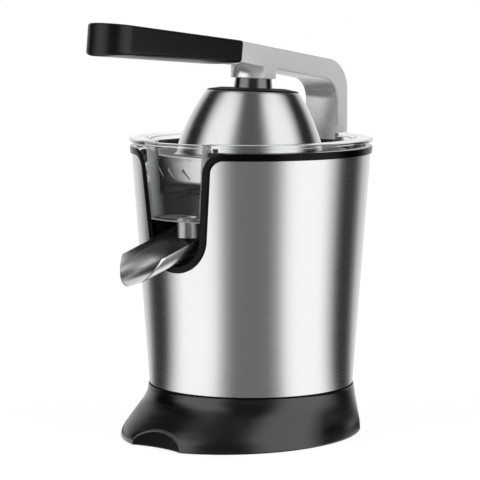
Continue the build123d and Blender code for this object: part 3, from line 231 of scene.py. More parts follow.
def clear_moulded(code, index, front, back, floor):
    """Clear moulding with faint flow marks. A painted reflection, a pale haze standing in for the bright light mirrored
    in the bay, lies on the bay's upright sides, fading from front to back between two places along Y, and on its floor
    up to a height. The index is kept low under the rim, as a thin wall shows little veil."""
    def build(tree):
        place = add(tree, "ShaderNodeTexCoord").outputs
        noise = add(tree, "ShaderNodeTexNoise", {"Vector": place["Object"], "Scale": 1 / (FLOW_WIDTH * MM)}).outputs[0]
        spot = split(tree, place["Object"])
        side = ramped(tree, maths(tree, "ABSOLUTE", split(tree, place["Normal"])[0]), *PAINTED_REFLECTION_SIDES)
        fade = ramped(tree, spot[1], front * MM, back * MM, 1.0, 0.0)
        low = ramped(tree, spot[2], floor * MM, (floor + PAINTED_REFLECTION_END) * MM, PAINTED_REFLECTION_FLOOR, 0.0)
        # painted reflection: where this is 1 the plastic turns pale and stops letting light through
        painted_reflection = maths(tree, "MAXIMUM", maths(tree, "MULTIPLY", side, fade), low)
        return add(tree, "ShaderNodeBsdfPrincipled", {
            "Base Color": colour(code), "Roughness": ramped(tree, noise, 0.0, 1.0, *FLOW_ROUGH),
            "IOR": ramped(tree, spot[2], (RIM_LOW - RIM_FALL) * MM, RIM_LOW * MM, index, RIM_INDEX),
            "Transmission Weight": ramped(tree, painted_reflection, 0.0, 1.0, 1.0, 0.0)})
    return build


FINISH = {
    # stainless sheet, brushed round the axis: soft upright bands of light with fine level lines
    "brushed_steel": material("stainless_brushed_round", brushed(
        "#e0e1e2", 0.25, stretch=0.8, line_mm=0.5, depth_mm=0.0024)),
    # stainless sheet, buffed: soft-edged dark and bright reflections
    "polished_steel": material("stainless_polished", grained(
        "#eff0f0", 0.22, grain_mm=2.0, depth_mm=0.0, spread=0.06, metallic=1.0)),
    # pressed stainless: softer reflections than the spout
    "pressed_steel": material("stainless_pressed", grained(
        "#e4e5e5", 0.45, grain_mm=0.8, depth_mm=0.002, spread=0.2, metallic=1.0)),
    # injection-moulded black from a polished tool: crisp highlights on near-black
    "gloss_black": material("abs_black_gloss", grained(
        "#020203", 0.09, grain_mm=1.2, depth_mm=0.0003, spread=0.12, more={"Specular IOR Level": 0.14})),
    # moulded black with a fine satin texture: broad dim highlights
    "satin_black": material("abs_black_satin", grained(
        "#050506", 0.3, grain_mm=0.5, depth_mm=0.003, spread=0.12, more={"Specular IOR Level": 0.45})),
    # moulded black inside the body: dull, so that the bay stays dark
    "inner_black": material("pp_black_dull", grained("#0c0c0d", 0.5, grain_mm=0.8, depth_mm=0.006)),
    # clear moulded plastic: bright rim, faint flow marks and a pale strip in the bay that is painted reflection
    "clear_plastic": material("san_clear_moulded", clear_moulded(
        "#fbfdfd", 1.2, front=-88.0, back=-68.0, floor=162.2)),
    # die-cast aluminium, blasted sides and linished faces: light even grey beside brighter bands
    "cast_aluminium": material("aluminium_cast_blasted", cast_and_linished(
        side=("#f2f3f3", 0.48, 0.15), face=("#f2f3f3", 0.26, 0.15), grain_mm=0.4)),
    # moulded rubber: soft and nearly without gloss
    "black_rubber": material("rubber_black_moulded", grained("#101010", 0.7, grain_mm=0.5, depth_mm=0.01)),
    # moulded black of the juicing cone: low sheen
    "cone_plastic": material("abs_black_cone", grained("#161616", 0.35, grain_mm=0.7, depth_mm=0.004)),
    # zinc-plated steel: grey with a fine crystal grain
    "plain_steel": material("steel_zinc_plated", grained(
        "#a9a8a4", 0.35, grain_mm=0.6, depth_mm=0.004, spread=0.2, metallic=1.0)),
    # rolled screw steel: darker and a little duller
    "screw_steel": material("steel_screw_rolled", grained(
        "#9b9a97", 0.38, grain_mm=0.5, depth_mm=0.004, spread=0.2, metallic=1.0)),
    # stacked sheet of the motor: dark, dull and slightly uneven
    "core_steel": material("steel_sheet_stacked", grained(
        "#55544f", 0.5, grain_mm=0.5, depth_mm=0.02, spread=0.2, metallic=1.0)),
    # enamelled copper wire: warm and glossy
    "copper": material("copper_enamelled", grained(
        "#a8542c", 0.3, grain_mm=0.8, depth_mm=0.03, spread=0.2, metallic=1.0)),
    # sintered bronze: fine pores
    "bronze": material("bronze_sintered", grained(
        "#8a6a3d", 0.45, grain_mm=0.3, depth_mm=0.01, spread=0.2, metallic=1.0)),
    # moulded acetal: milky off-white
    "gear_plastic": material("pom_natural_moulded", grained("#dcd8cb", 0.4, grain_mm=0.8, depth_mm=0.004)),
    # cut brass: bright with tool marks
    "pinion_brass": material("brass_cut", grained(
        "#b6954c", 0.3, grain_mm=0.4, depth_mm=0.004, spread=0.2, metallic=1.0)),
    # moulded polyester: dark grey
    "switch_plastic": material("pbt_dark_moulded", grained("#2a2a2a", 0.5, grain_mm=0.6, depth_mm=0.005)),
}
# the base's moulded black, satin on the flare: soft upright bands
BASE_SATIN = material("abs_black_base", brushed(
    "#020203", 0.2, stretch=0.85, line_mm=0.6, depth_mm=0.0002, metallic=0.0, more={"Specular IOR Level": 1.0}))
# textured black of the hollow for the glass, the painted shadow ring over the collar's joint and the dome's cap: dull
# and
# # nearly without highlights
BASE_DULL = material("abs_black_textured", grained(
    "#030303", 0.55, grain_mm=0.6, depth_mm=0.01, spread=0.12, more={"Specular IOR Level": 0.08}))
# the neck's polished black: two narrow upright highlights
NECK_GLOSS = material("abs_black_polished", grained(
    "#040405", 0.09, grain_mm=1.2, depth_mm=0.0002, spread=0.12,
    more={"Specular IOR Level": 1.0, "Coat Weight": 1.0, "Coat IOR": 2.0, "Coat Roughness": 0.06}))
# the dome's sheet, brushed finer than the sleeve: the same bands with fainter lines
DOME_STEEL = material("stainless_brushed_fine", brushed(
    "#e0e1e2", 0.24, stretch=0.8, line_mm=0.5, depth_mm=0.0016))
# the nozzle's thick clear wall bends and mirrors more light: dark and bright upright edges
CLEAR_PIPE = material("san_clear_pipe", grained(
    "#fbfdfd", 0.02, grain_mm=9.0, depth_mm=0.0005, spread=0.5,
    more={"IOR": 1.6, "Coat Weight": 1.0, "Coat IOR": 2.2, "Coat Roughness": 0.03, "Transmission Weight": 1.0}))
SLOT_OF = {part["node"]: part["material_slot"] for part in frame["record"]["subparts"]}
BODY_OF = {node: body for body, members in frame["record"]["behaviour"]["bodies"].items() for node in members}
for name, slot in SLOT_OF.items():
    nodes[name].data.materials.clear()
    nodes[name].data.materials.append(FINISH[slot])


# Meshes

# Distances in metres under which points are merged and slivers dissolved
MERGE, SLIVER = 1e-6, 1e-7
# Angles in degrees above which an edge stays crisp, on pieces in general, on the collector and on the CAD's own faces
CREASE, CLEAR_CREASE, PLAIN_CREASE = 32, 30, 25


def grid_mesh(grids):
    """Vertices, quads and map coordinates of several grids of shape (rows, columns, 3), put end to end.

    The map's first axis is the length round the Z axis at a mean radius and its second the height plus the radius,
    both in millimetres, so that lines of one value lie level round a turned sheet.
    """
    points, quads, maps, start = [], [], [], 0
    for grid in grids:
        rows, columns = grid.shape[:2]
        index = start + np.arange(rows * columns).reshape(rows, columns)
        quads.append(np.stack([index[:-1, :-1], index[:-1, 1:], index[1:, 1:], index[1:, :-1]], -1).reshape(-1, 4))
        radius = np.hypot(grid[..., 0], grid[..., 1])
        turn = np.unwrap(np.arctan2(grid[..., 0], -grid[..., 1]), axis=1)
        maps.append(np.stack([turn * radius.mean(), grid[..., 2] + radius], -1).reshape(-1, 2))
        points.append(grid.reshape(-1, 3))
        start += rows * columns
    return np.concatenate(points), np.concatenate(quads), np.concatenate(maps)


def mesh_of(name, grids, place=None):
    """A mesh of grids in millimetres, moved by a matrix, and the map coordinates of its face corners."""
    points, quads, maps = grid_mesh(grids)
    if place is not None:
        turn = np.array(place)
        points = points @ turn[:3, :3].T + turn[:3, 3]
    mesh = bpy.data.meshes.new(name)
    mesh.from_pydata((points * MM).tolist(), [], quads.tolist())
    return mesh, maps[quads.reshape(-1)]


def placed(name, data):
    """A new object of its data in the scene, at the origin."""
    made = bpy.data.objects.new(name, data)
    bpy.context.scene.collection.objects.link(made)
    return made


def merged(mesh, outward=True):
    """Merges a mesh's doubles, dissolves its slivers and, if asked, turns its faces outward."""
    work = bmesh.new()
    work.from_mesh(mesh)
    bmesh.ops.remove_doubles(work, verts=work.verts, dist=MERGE)
    bmesh.ops.dissolve_degenerate(work, edges=work.edges, dist=SLIVER)
    if outward:
        bmesh.ops.recalc_face_normals(work, faces=work.faces)
    work.to_mesh(mesh)
    work.free()


def shaded(mesh, crease):
    """Shades a mesh smooth between the edges that turn by more than an angle."""
    mesh.polygons.foreach_set("use_smooth", np.ones(len(mesh.polygons), bool))
    mesh.set_sharp_from_angle(angle=radians(crease))


def finished(name, mesh, node, crease, outward=True, finishes=None):
    """One object for a CAD node: merged, shaded, with its finishes, on the node's body."""
    merged(mesh, outward)
    shaded(mesh, crease)
    which = np.zeros(len(mesh.polygons), np.int32)
    mesh.polygons.foreach_get("material_index", which)
    mesh.materials.clear()
    for finish in finishes or [FINISH[SLOT_OF[node]]]:
        mesh.materials.append(finish)
    mesh.polygons.foreach_set("material_index", np.minimum(which, len(mesh.materials) - 1))
    made = placed(name, mesh)
    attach(made, BODY_OF[node])
    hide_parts(node)
    return made


def piece(name, grids, node, place=None, crease=CREASE, finishes=None):
    """One smooth mesh object from grids in millimetres, in place of a CAD node. With finishes given, each grid has
    its own."""
    mesh, maps = mesh_of(name, grids, place)
    mesh.uv_layers.new(name="mm").data.foreach_set("uv", maps.reshape(-1))
    if finishes:
        counts = [(grid.shape[0] - 1) * (grid.shape[1] - 1) for grid in grids]
        mesh.polygons.foreach_set("material_index", np.repeat(np.arange(len(grids)), counts))
    return finished(name, mesh, node, crease, True, finishes)


def smoothed(name, node):
    """The CAD node's own faces, merged and shaded smooth between their creases, flat faces kept flat."""
    made = finished(name, nodes[node].data.copy(), node, PLAIN_CREASE, False)
    weigh = made.modifiers.new("even_faces", "WEIGHTED_NORMAL")
    weigh.keep_sharp = True
    return made


# Lines and surfaces

def rounded(points, radii, count):
    """A line of corner points with each corner replaced by an arc of its radius, with a count of points on each arc."""
    made = []
    points = [np.array(p, float) for p in points]
    for i, (corner, radius) in enumerate(zip(points, radii)):
        if not radius:
            made.append(corner[None])
            continue
        before, after = points[i - 1] - corner, points[(i + 1) % len(points)] - corner
        before, after = before / np.linalg.norm(before), after / np.linalg.norm(after)
        half = np.arccos(np.clip(before @ after, -1, 1)) / 2
        middle = corner + (before + after) / np.linalg.norm(before + after) * radius / np.sin(half)
        first, last = corner + before * radius / np.tan(half), corner + after * radius / np.tan(half)
        a, b = first - middle, last - middle
        sweep = np.arctan2(a[0] * b[1] - a[1] * b[0], a @ b)
        turn = np.linspace(0, sweep, count)[:, None]
        side = np.array([-a[1], a[0]])
        made.append(middle + np.cos(turn) * a + np.sin(turn) * side)
    return np.concatenate(made)


def closed(loop):
    """A line whose first point is put at its end too."""
    return np.concatenate([loop, loop[:1]])


def lathe(profile, columns=257):
    """A profile of (radius, height) points turned about Z, its seam at the rear."""
    angle = np.radians(90 + np.linspace(0, 360, columns))
    r, z = profile[:, :1], profile[:, 1:]
    return np.stack([r * np.cos(angle), r * np.sin(angle), np.broadcast_to(z, (len(profile), columns))], -1)


def strip(first, second):
    """A grid of two rows between two lines of points."""
    return np.stack([first, second])


def sheet_grids(outer, inner):
    """Both faces of a sheet and the four strips that close its edges."""
    return [outer, inner, strip(outer[0], inner[0]), strip(outer[-1], inner[-1]),
            strip(outer[:, 0], inner[:, 0]), strip(outer[:, -1], inner[:, -1])]


def through(shares, place):
    """A smooth line through rows of values at rising shares: cubic between neighbours, with central slopes."""
    knots, values = shares[:, 0], shares[:, 1:]
    slopes = np.stack([np.gradient(column, knots) for column in values.T], -1)
    i = np.clip(np.searchsorted(knots, place, side="right") - 1, 0, len(knots) - 2)
    span = (knots[i + 1] - knots[i])[..., None]
    t = (place - knots[i])[..., None] / span
    return (values[i] * (1 + 2 * t) * (1 - t) ** 2 + slopes[i] * span * t * (1 - t) ** 2
            + values[i + 1] * t ** 2 * (3 - 2 * t) + slopes[i + 1] * span * t ** 2 * (t - 1))


# Sleeve and the trim on its edge

# Rows of the sleeve up to the height where the rear slot starts
SLEEVE_ROWS = 34


def shell_radius(z):
    """Outer radius of the sleeve's cone at a height."""
    return SHELL_LOW_R + (z - SHELL_LOW) / (SHELL_TOP - SHELL_LOW) * (SHELL_TOP_R - SHELL_LOW_R)


def on_cone(angle, height, offset):
    """Points on the sleeve's cone at an offset, the angle measured from the front."""
    radius = shell_radius(height) + offset
    return np.stack([radius * np.sin(angle), -radius * np.cos(angle), height + 0 * angle], -1)


def cut_side(z, inset):
    """Half width of the cut-out's leaning side, moved in by an inset."""
    return CUT_HALF + (z - CUT_LOW) * tan(CUT_LEAN) - inset / cos(CUT_LEAN)


def cut_line(inset, bend=24, level=8, upright=24):
    """Right half of the edge round the cut-out in the front plane: from its lowest point along the round bottom, up
    the leaning side and out along the flare. Every inset gives the same counts of points on bends and straights."""
    low, line = CUT_LOW + inset, SHELL_TOP + inset
    corner, side = (cut_side(low, inset), low), (cut_side(line, inset), line)
    ends = [(0, low), corner, side, (side[0] + CUT_RUN, line)]
    made = rounded(ends, [0, CUT_CORNER - inset, CUT_FLARE + inset, 0], bend)
    low_run = np.linspace(made[0], made[1], level)[:-1]
    side_run = np.linspace(made[bend], made[bend + 1], upright)[1:-1]
    return np.concatenate([low_run, made[1:bend + 1], side_run, made[bend + 1:-1]])


def edge_path(inset, offset, columns=160):
    """Edge of the sleeve at an inset, on a cone at an offset from the sleeve: points from the rear slot round the left
    side, down round the cut-out and back round the right side to the slot."""
    front = cut_line(inset)
    angle = np.arcsin(front[:, 0] / (shell_radius(front[:, 1]) + offset))
    stop = pi - asin(SLOT_HALF / (SHELL_TOP_R + offset))
    angle = np.r_[angle, np.linspace(angle[-1], stop, columns)[1:]]
    height = np.r_[front[:, 1], np.full(columns - 1, front[-1, 1])]
    right = on_cone(angle, height, offset)
    return np.concatenate([right[:0:-1] * (-1, 1, 1), right])


def sleeve_faces(offset, rows_above=6, rear_columns=25):
    """The sleeve on the cone at an offset: upright lines from its lower edge to the edge round the cut-out, and the
    panel under the rear slot, whose rows meet theirs."""
    top = edge_path(0, offset)
    angle = np.arctan2(top[:, 0], -top[:, 1])
    below = (SLOT_LOW - SHELL_LOW) / (SHELL_TOP - SHELL_LOW)
    share = np.r_[np.linspace(0, below, SLEEVE_ROWS), np.linspace(below, 1, rows_above + 1)[1:]][:, None]
    main = on_cone(angle + 0 * share, SHELL_LOW + (top[:, 2] - SHELL_LOW) * share, offset)
    rear, share = np.linspace(angle[-1], 2 * pi + angle[0], rear_columns), share[:SLEEVE_ROWS]
    panel = on_cone(rear + 0 * share, SHELL_LOW + (SHELL_TOP - SHELL_LOW) * share + 0 * rear, offset)
    return main, panel


def build_sleeve():
    """Outer and inner face of the sheet, each with its rear panel, and the strips that close its edges."""
    (outer, outer_rear), (inner, inner_rear) = sleeve_faces(0), sleeve_faces(-SHELL_SHEET)
    slot = slice(SLEEVE_ROWS - 1, None)
    edges = [strip(a, b) for a, b in (
        (outer[-1], inner[-1]), (outer[0], inner[0]), (outer_rear[-1], inner_rear[-1]),
        (outer_rear[0], inner_rear[0]), (outer[slot, 0], inner[slot, 0]), (outer[slot, -1], inner[slot, -1]))]
    piece("sleeve", [outer, outer_rear, inner, inner_rear, *edges], "body_shell")


def build_trim():
    """The trim's rounded section carried along the sleeve's edge, and a flat cap at each end."""
    corners = [(0, TRIM_PROUD), (TRIM_WIDTH, TRIM_PROUD), (TRIM_WIDTH, -TRIM_DEPTH), (0, -TRIM_DEPTH)]
    section = closed(rounded(corners, TRIM_CORNERS, count=7))
    swept = np.stack([edge_path(inset, offset) for inset, offset in section])
    caps = [strip(swept[:, end], np.broadcast_to(swept[:, end].mean(0), swept[:, end].shape)) for end in (0, -1)]
    piece("edge_trim", [swept, *caps], "rim_trim")


# Base

def base_point(turn, down):
    """Point of the flared base at a turn from the front and a share of the way down: an oval whose half width, half
    length and forward shift follow their shares."""
    wide, long, ahead = np.moveaxis(through(BASE_SHARES, down), -1, 0)
    half = BASE_COLLAR + wide * (BASE_HALF - BASE_COLLAR)
    reach = BASE_COLLAR + long * (BASE_REACH - BASE_COLLAR)
    return np.stack([half * np.sin(turn), -ahead * BASE_AHEAD - reach * np.cos(turn),
                     BASE_TOP - down * (BASE_TOP - BASE_FOOT)], -1)


def scallop_share(turn, halvings=40):
    """How far down the flare runs before it meets the upright scallop, by halving; 1 where it doesn't."""
    low, high = np.zeros_like(turn), np.ones_like(turn)
    for _ in range(halvings):
        middle = (low + high) / 2
        p = base_point(turn, middle)
        clear = p[:, 0] ** 2 + (p[:, 1] - SCALLOP_Y) ** 2 > SCALLOP_R ** 2
        low, high = np.where(clear, middle, low), np.where(clear, high, middle)
    return (low + high) / 2


def build_base(crease=1.3, edge=0.7, front=0.55):
    """Closed section carried round the oval: rolled collar edge, flare, soft crease, scallop wall, rolled foot, and
    the inner face one wall inside. Columns lie closer within a turn of the front, where the scallop is. A thin dark
    ring on the sleeve over the joint above the collar is painted shadow, standing in for the shade in that gap."""
    turn = np.r_[np.linspace(-front, front, 281), np.linspace(front, 2 * pi - front, 321)[1:]]
    height, up = BASE_TOP - BASE_FOOT, np.array((0, 0, 1))
    stop = np.minimum(scallop_share(turn), 1 - edge / height)
    last = np.where(stop < 1 - edge / height, stop - crease / height, stop)
    flare = base_point(turn, edge / height + np.linspace(0, 1, 48)[:, None] * (last - edge / height))
    corner, collar = base_point(turn, stop), base_point(turn, 0 * turn)
    foot = corner * (1, 1, 0) + BASE_FOOT * up
    inward = foot * (-1, -1, 0) - (0, BASE_AHEAD, 0)
    inward /= np.linalg.norm(inward, axis=1, keepdims=True)
    drop = np.clip(corner[:, 2:] - BASE_FOOT - edge, 0, crease) * up
    t = np.linspace(0, 1, 8)[1:, None, None]
    bend = flare[-1] * (1 - t) ** 2 + corner * 2 * t * (1 - t) + (corner - drop) * t ** 2
    wall = bend[-1] + np.linspace(0, 1, 6)[1:, None, None] * (foot + edge * up - bend[-1])
    angle = np.linspace(0, pi / 2, 6)[:, None, None]
    roll = foot + edge * ((1 - np.cos(angle)) * inward + (1 - np.sin(angle)) * up)
    brim = collar + edge * ((1 - np.cos(angle)) * inward - (1 - np.sin(angle)) * up)
    outside = np.concatenate([flare, bend, wall])
    under = np.concatenate([wall[-1:], roll[1:], outside[::-1] + BASE_WALL * inward, brim[-1:]])
    grids = [np.concatenate([brim[:0:-1], flare, bend]), np.concatenate([bend[-1:], wall]), under]
    piece("flared_base", grids, "base_skirt", finishes=[BASE_SATIN, BASE_DULL, BASE_SATIN])
    # painted shadow: a dark ring over the joint above the collar, where the gap lies in shade
    low, high = BASE_TOP - SHADOW_RING_LAP, BASE_TOP + SHADOW_RING_HIGH
    shadow_ring = [(shell_radius(low) - SHADOW_RING_LAP, low), (shell_radius(low) + SHADOW_RING_PROUD, low),
            (shell_radius(high) + SHADOW_RING_PROUD, high), (shell_radius(high) - SHADOW_RING_LAP, high)]
    piece("collar_seal", [lathe(closed(np.array(shadow_ring)), columns=241)], "base_skirt", finishes=[BASE_DULL])


# Lever: dome, neck and grip

def dome_line(inset):
    """Section of the dome at an inset: flat top, rounded shoulder and a swelling side arc down to the lip."""
    top, low = np.array([DOME_TOP_R - inset, -inset]), np.array([DOME_LOW_R - inset, -DOME_DEEP])
    run = low - top
    out = np.array([-run[1], run[0]]) / np.hypot(*run)
    t = np.linspace(0, 1, 48)[:, None]
    side = top + t * run + 4 * DOME_SWELL * t * (1 - t) * out
    reach = DOME_SHOULDER - inset
    start = int(np.searchsorted(np.cumsum(np.hypot(*np.diff(side, axis=0).T)), reach)) + 1
    flat = top - (reach, 0)
    s = np.linspace(0, 1, 9)[1:-1, None]
    bend = flat * (1 - s) ** 2 + top * 2 * s * (1 - s) + side[start] * s ** 2
    return np.concatenate([[(PRESS_BORE, -inset)], [flat], bend, side[start:]])


def build_dome():
    """The dome's outer section down to its rounded lip and its inner section back up, turned about the press axis."""
    outer, inner = dome_line(0), dome_line(DOME_SHEET)
    lip_top, lip_r = DOME_LIP_HIGH - DOME_DEEP, DOME_LOW_R + DOME_LIP
    lip = rounded([(DOME_LOW_R, lip_top), (lip_r, lip_top), (lip_r, -DOME_DEEP),
                   (DOME_LOW_R - DOME_SHEET, -DOME_DEEP)], [0, DOME_LIP_ROUND, DOME_LIP_ROUND, 0], count=5)
    section = np.concatenate([outer[outer[:, 1] > lip_top], lip, inner[::-1], outer[:1]])
    piece("dome", [lathe(section, columns=361)], "press_dome", PRESS, finishes=[DOME_STEEL])


def build_neck():
    """Tapering neck and black cap turned about the press axis; the cap follows the dome's section over its shoulder."""
    neck = rounded([(PRESS_BORE, 0), (PRESS_BORE, NECK_TOP), (NECK_R, NECK_TOP), (NECK_LOW_R, CAP_THICK)],
                   [0, 0, NECK_ROUND, 0], count=7)
    over, under = dome_line(-CAP_OVER)[1:CAP_LAST + 1], dome_line(CAP_UNDER)[CAP_LAST:0:-1]
    cap = np.concatenate([[(NECK_LOW_R, CAP_THICK), (CAP_R - CAP_SLOPE, CAP_THICK)], over, under, [(PRESS_BORE, 0)]])
    piece("neck", [lathe(neck), lathe(cap)], "press_neck", PRESS, finishes=[NECK_GLOSS, BASE_DULL])


def grip_outline(inset):
    """The grip's plan at an inset: straight sides, a tip with large corners and a square rear end."""
    half, tip = GRIP_HALF - inset, inset - GRIP_LENGTH
    small, large = max(GRIP_REAR_R - inset, GRIP_LEAST_R), max(GRIP_TIP_R - inset, GRIP_LEAST_R)
    corners = [(half, -inset), (half, tip), (-half, tip), (-half, -inset)]
    return closed(rounded(corners, [small, large, large, small], count=24))


def grip_belly(plan):
    """Height of the grip's underside: falling with the taper and rising to its sides on a large arc."""
    arc_radius = (GRIP_HALF ** 2 + GRIP_CROWN ** 2) / (2 * GRIP_CROWN)
    return plan[:, 1] * tan(GRIP_TAPER) - GRIP_THICK / 2 + arc_radius - np.sqrt(arc_radius ** 2 - plan[:, 0] ** 2)


def build_grip():
    """Plan outlines at rising and falling insets: flat top, rolled edge, upright side, rolled edge and belly."""
    top, roll = GRIP_THICK / 2, np.linspace(0, pi / 2, 9)
    flat = [grip_outline(inset) for inset in GRIP_TOP_INSETS]
    upper = [grip_outline(GRIP_CORNER * (1 - sin(angle))) for angle in roll]
    lower = [grip_outline(GRIP_CORNER * (1 - cos(angle))) for angle in roll]
    belly = [grip_outline(inset) for inset in GRIP_BELLY_INSETS]
    flat[0], belly[-1] = flat[0] * (0, 1), belly[-1] * (0, 1)
    heights = [np.full(len(plan), top) for plan in flat]
    heights += [np.full(len(plan), top - GRIP_CORNER * (1 - cos(angle))) for plan, angle in zip(upper, roll)]
    heights += [grip_belly(plan) + GRIP_CORNER * (1 - sin(angle)) for plan, angle in zip(lower, roll)]
    heights += [grip_belly(plan) for plan in belly]
    rows = np.stack(flat + upper + lower + belly)
    piece("grip", [np.concatenate([rows, np.stack(heights)[..., None]], -1)], "handle_grip", GRIP)


# Spout

def spout_face(radius, rows=40, columns=81):
    """One face of the half pipe: points at a turn round its leaning axis, from the round tip in plan to its rear."""
    limit = np.arccos(SPOUT_RISE / radius)
    turn = np.linspace(-limit, limit, columns)
    wide = SPOUT_R + SPOUT_SHEET
    tip = SPOUT_TIP_Y + wide - np.sqrt(np.maximum(wide ** 2 - (radius * np.sin(turn)) ** 2, 0))
    y = tip + np.linspace(0, 1, rows)[:, None] * (SPOUT_BACK_Y - tip)
    along = (y - SPOUT_TIP_Y + (SPOUT_R - radius * np.cos(turn)) * sin(SPOUT_SLOPE)) / cos(SPOUT_SLOPE)
    z = SPOUT_TIP_Z + (SPOUT_R - radius * np.cos(turn)) * cos(SPOUT_SLOPE) + along * sin(SPOUT_SLOPE)
    return np.stack([radius * np.sin(turn) + 0 * y, y, z], -1)


def build_spout():
    """The half pipe's two faces with their edges, and a ring turned about X for each ear."""
    wide = SPOUT_R + SPOUT_SHEET
    section = closed(np.array([(EAR_BORE, 0), (EAR_R, 0), (EAR_R, EAR_THICK), (EAR_BORE, EAR_THICK)]))
    ring = lathe(section, columns=49)
    ears = [np.stack([side * (wide - ring[..., 2]), EAR_Y + ring[..., 0], EAR_Z + ring[..., 1]], -1)
            for side in (-1, 1)]
    piece("drip_spout", sheet_grids(spout_face(wide), spout_face(SPOUT_R)) + ears, "spout")


# Clear collector and its nozzle

def pane_half(z):
    """Half width of the window at a height: the leaning side, which flares out under the rim on an arc."""
    inset = TRIM_WIDTH + PANE_GAP
    radius, line = CUT_FLARE + inset, SHELL_TOP + inset
    middle_z = line - radius
    middle_x = cut_side(middle_z, inset) + radius / cos(CUT_LEAN)
    start = middle_z + radius * sin(CUT_LEAN)
    rise = np.clip(z, start, PANE_TOP) - middle_z
    return np.where(z < start, cut_side(z, inset), middle_x - np.sqrt(radius ** 2 - rise ** 2))


def collector_rows():
    """Rows of the collector's section, each with its place in the bay, in the bowl and in the rear notch.

    Bay: half width, radius of the window's cone, share of the way to an upright plane, that plane's Y, share of the
    way to a ring round the axis, that ring's radius, height. Bowl: radius, height, half width where it starts.
    Notch: radius, height.
    """
    def side(z, wall):
        return cut_side(z, TRIM_WIDTH + PANE_GAP + wall)

    def cone(z, wall):
        return shell_radius(z) + PANE_PROUD - wall

    inner, floor_top = BOWL_R - CLEAR_WALL, BOWL_FLOOR + CLEAR_WALL
    sump, back = BAY_LOW + CLEAR_WALL, BAY_BACK - CLEAR_WALL
    bore = CHIMNEY_R - CLEAR_WALL
    wide = float(pane_half(PANE_TOP))
    lean, lean_in = side(BOWL_FLOOR, 0) / BOWL_R, side(floor_top, CLEAR_WALL) / inner
    step = np.linspace(0, 1, 7)[1:]
    rows = []
    # Rim, from its top over its rounded edge to its underside
    for r, z in rounded([(RIM_START, RIM_TOP), (RIM_R, RIM_TOP), (RIM_R, RIM_LOW), (RIM_START, RIM_LOW)],
                        [0, RIM_EDGE, RIM_EDGE, 0], count=6)[1:-1]:
        rows.append((r * wide / RIM_R, r, 0, 0, 0, 1, z, r, z, r * wide / RIM_R, BOWL_R, NOTCH_LOW))
    # Outside: down the window and the bowl, under the bay, up its back and in under the bowl's floor
    for s in np.linspace(0, 1, 40):
        z, bowl_z = RIM_LOW + s * (BAY_LOW - RIM_LOW), RIM_LOW + s * (BOWL_FLOOR - RIM_LOW)
        rows.append((float(pane_half(z)), cone(z, 0), 0, 0, 0, 1, z, BOWL_R, bowl_z, side(bowl_z, 0), BOWL_R,
                     min(bowl_z, NOTCH_LOW)))
    corner = (BOWL_R, BOWL_FLOOR, side(BOWL_FLOOR, 0), BOWL_R, BOWL_FLOOR)
    rows += [(side(BAY_LOW, 0), cone(BAY_LOW, 0), s, BAY_BACK, 0, 1, BAY_LOW, *corner) for s in step]
    for s in step:
        z = BAY_LOW + s * (BOWL_FLOOR - BAY_LOW)
        rows.append((side(z, 0), RIM_R, 1, BAY_BACK, 0, 1, z, *corner))
    for s in step:
        r = BOWL_R + s * (bore - BOWL_R)
        rows.append((side(BOWL_FLOOR, 0), RIM_R, 1, BAY_BACK, s, bore, BOWL_FLOOR, r, BOWL_FLOOR, r * lean, r,
                     BOWL_FLOOR))
    # Chimney round the shaft, then inside: out over the floor, down into the bay and forward to the window
    for r, z in ((bore, CHIMNEY_TOP), (CHIMNEY_R, CHIMNEY_TOP), (CHIMNEY_R, floor_top)):
        rows.append((wide, RIM_R, 1, BAY_BACK, 1, r, z, r, z, r * lean, r, z))
    for s in step:
        r = CHIMNEY_R + s * (inner - CHIMNEY_R)
        rows.append((side(floor_top, CLEAR_WALL), RIM_R, 1, back, 1 - s, CHIMNEY_R, floor_top, r, floor_top,
                     r * lean_in, r, floor_top))
    corner = (inner, floor_top, side(floor_top, CLEAR_WALL), inner, floor_top)
    for s in step:
        z = floor_top + s * (sump - floor_top)
        rows.append((side(z, CLEAR_WALL), RIM_R, 1, back, 0, 1, z, *corner))
    rows += [(side(sump, CLEAR_WALL), cone(sump, CLEAR_WALL), 1 - s, back, 0, 1, sump, *corner) for s in step]
    # Up the inner faces, over the ledge, to the rim's top
    ledge = [(inner, LEDGE_LOW), (inner - LEDGE_WIDTH, LEDGE_LOW), (inner - LEDGE_WIDTH, LEDGE_TOP)]
    climb = [(inner, z) for z in np.linspace(floor_top, LEDGE_LOW, 12)[1:-1]] + ledge
    climb += [(inner, z) for z in np.linspace(LEDGE_TOP, RIM_TOP, 8)]
    for r, z in climb:
        low = LEDGE_LOW - (LEDGE_LOW - z) * (LEDGE_LOW - sump) / (LEDGE_LOW - floor_top) if z < LEDGE_LOW else z
        rows.append((side(low, CLEAR_WALL), cone(low, CLEAR_WALL), 0, 0, 0, 1, low, r, z, side(z, CLEAR_WALL), r,
                     min(z, NOTCH_LOW)))
    return np.array(rows)[..., None]


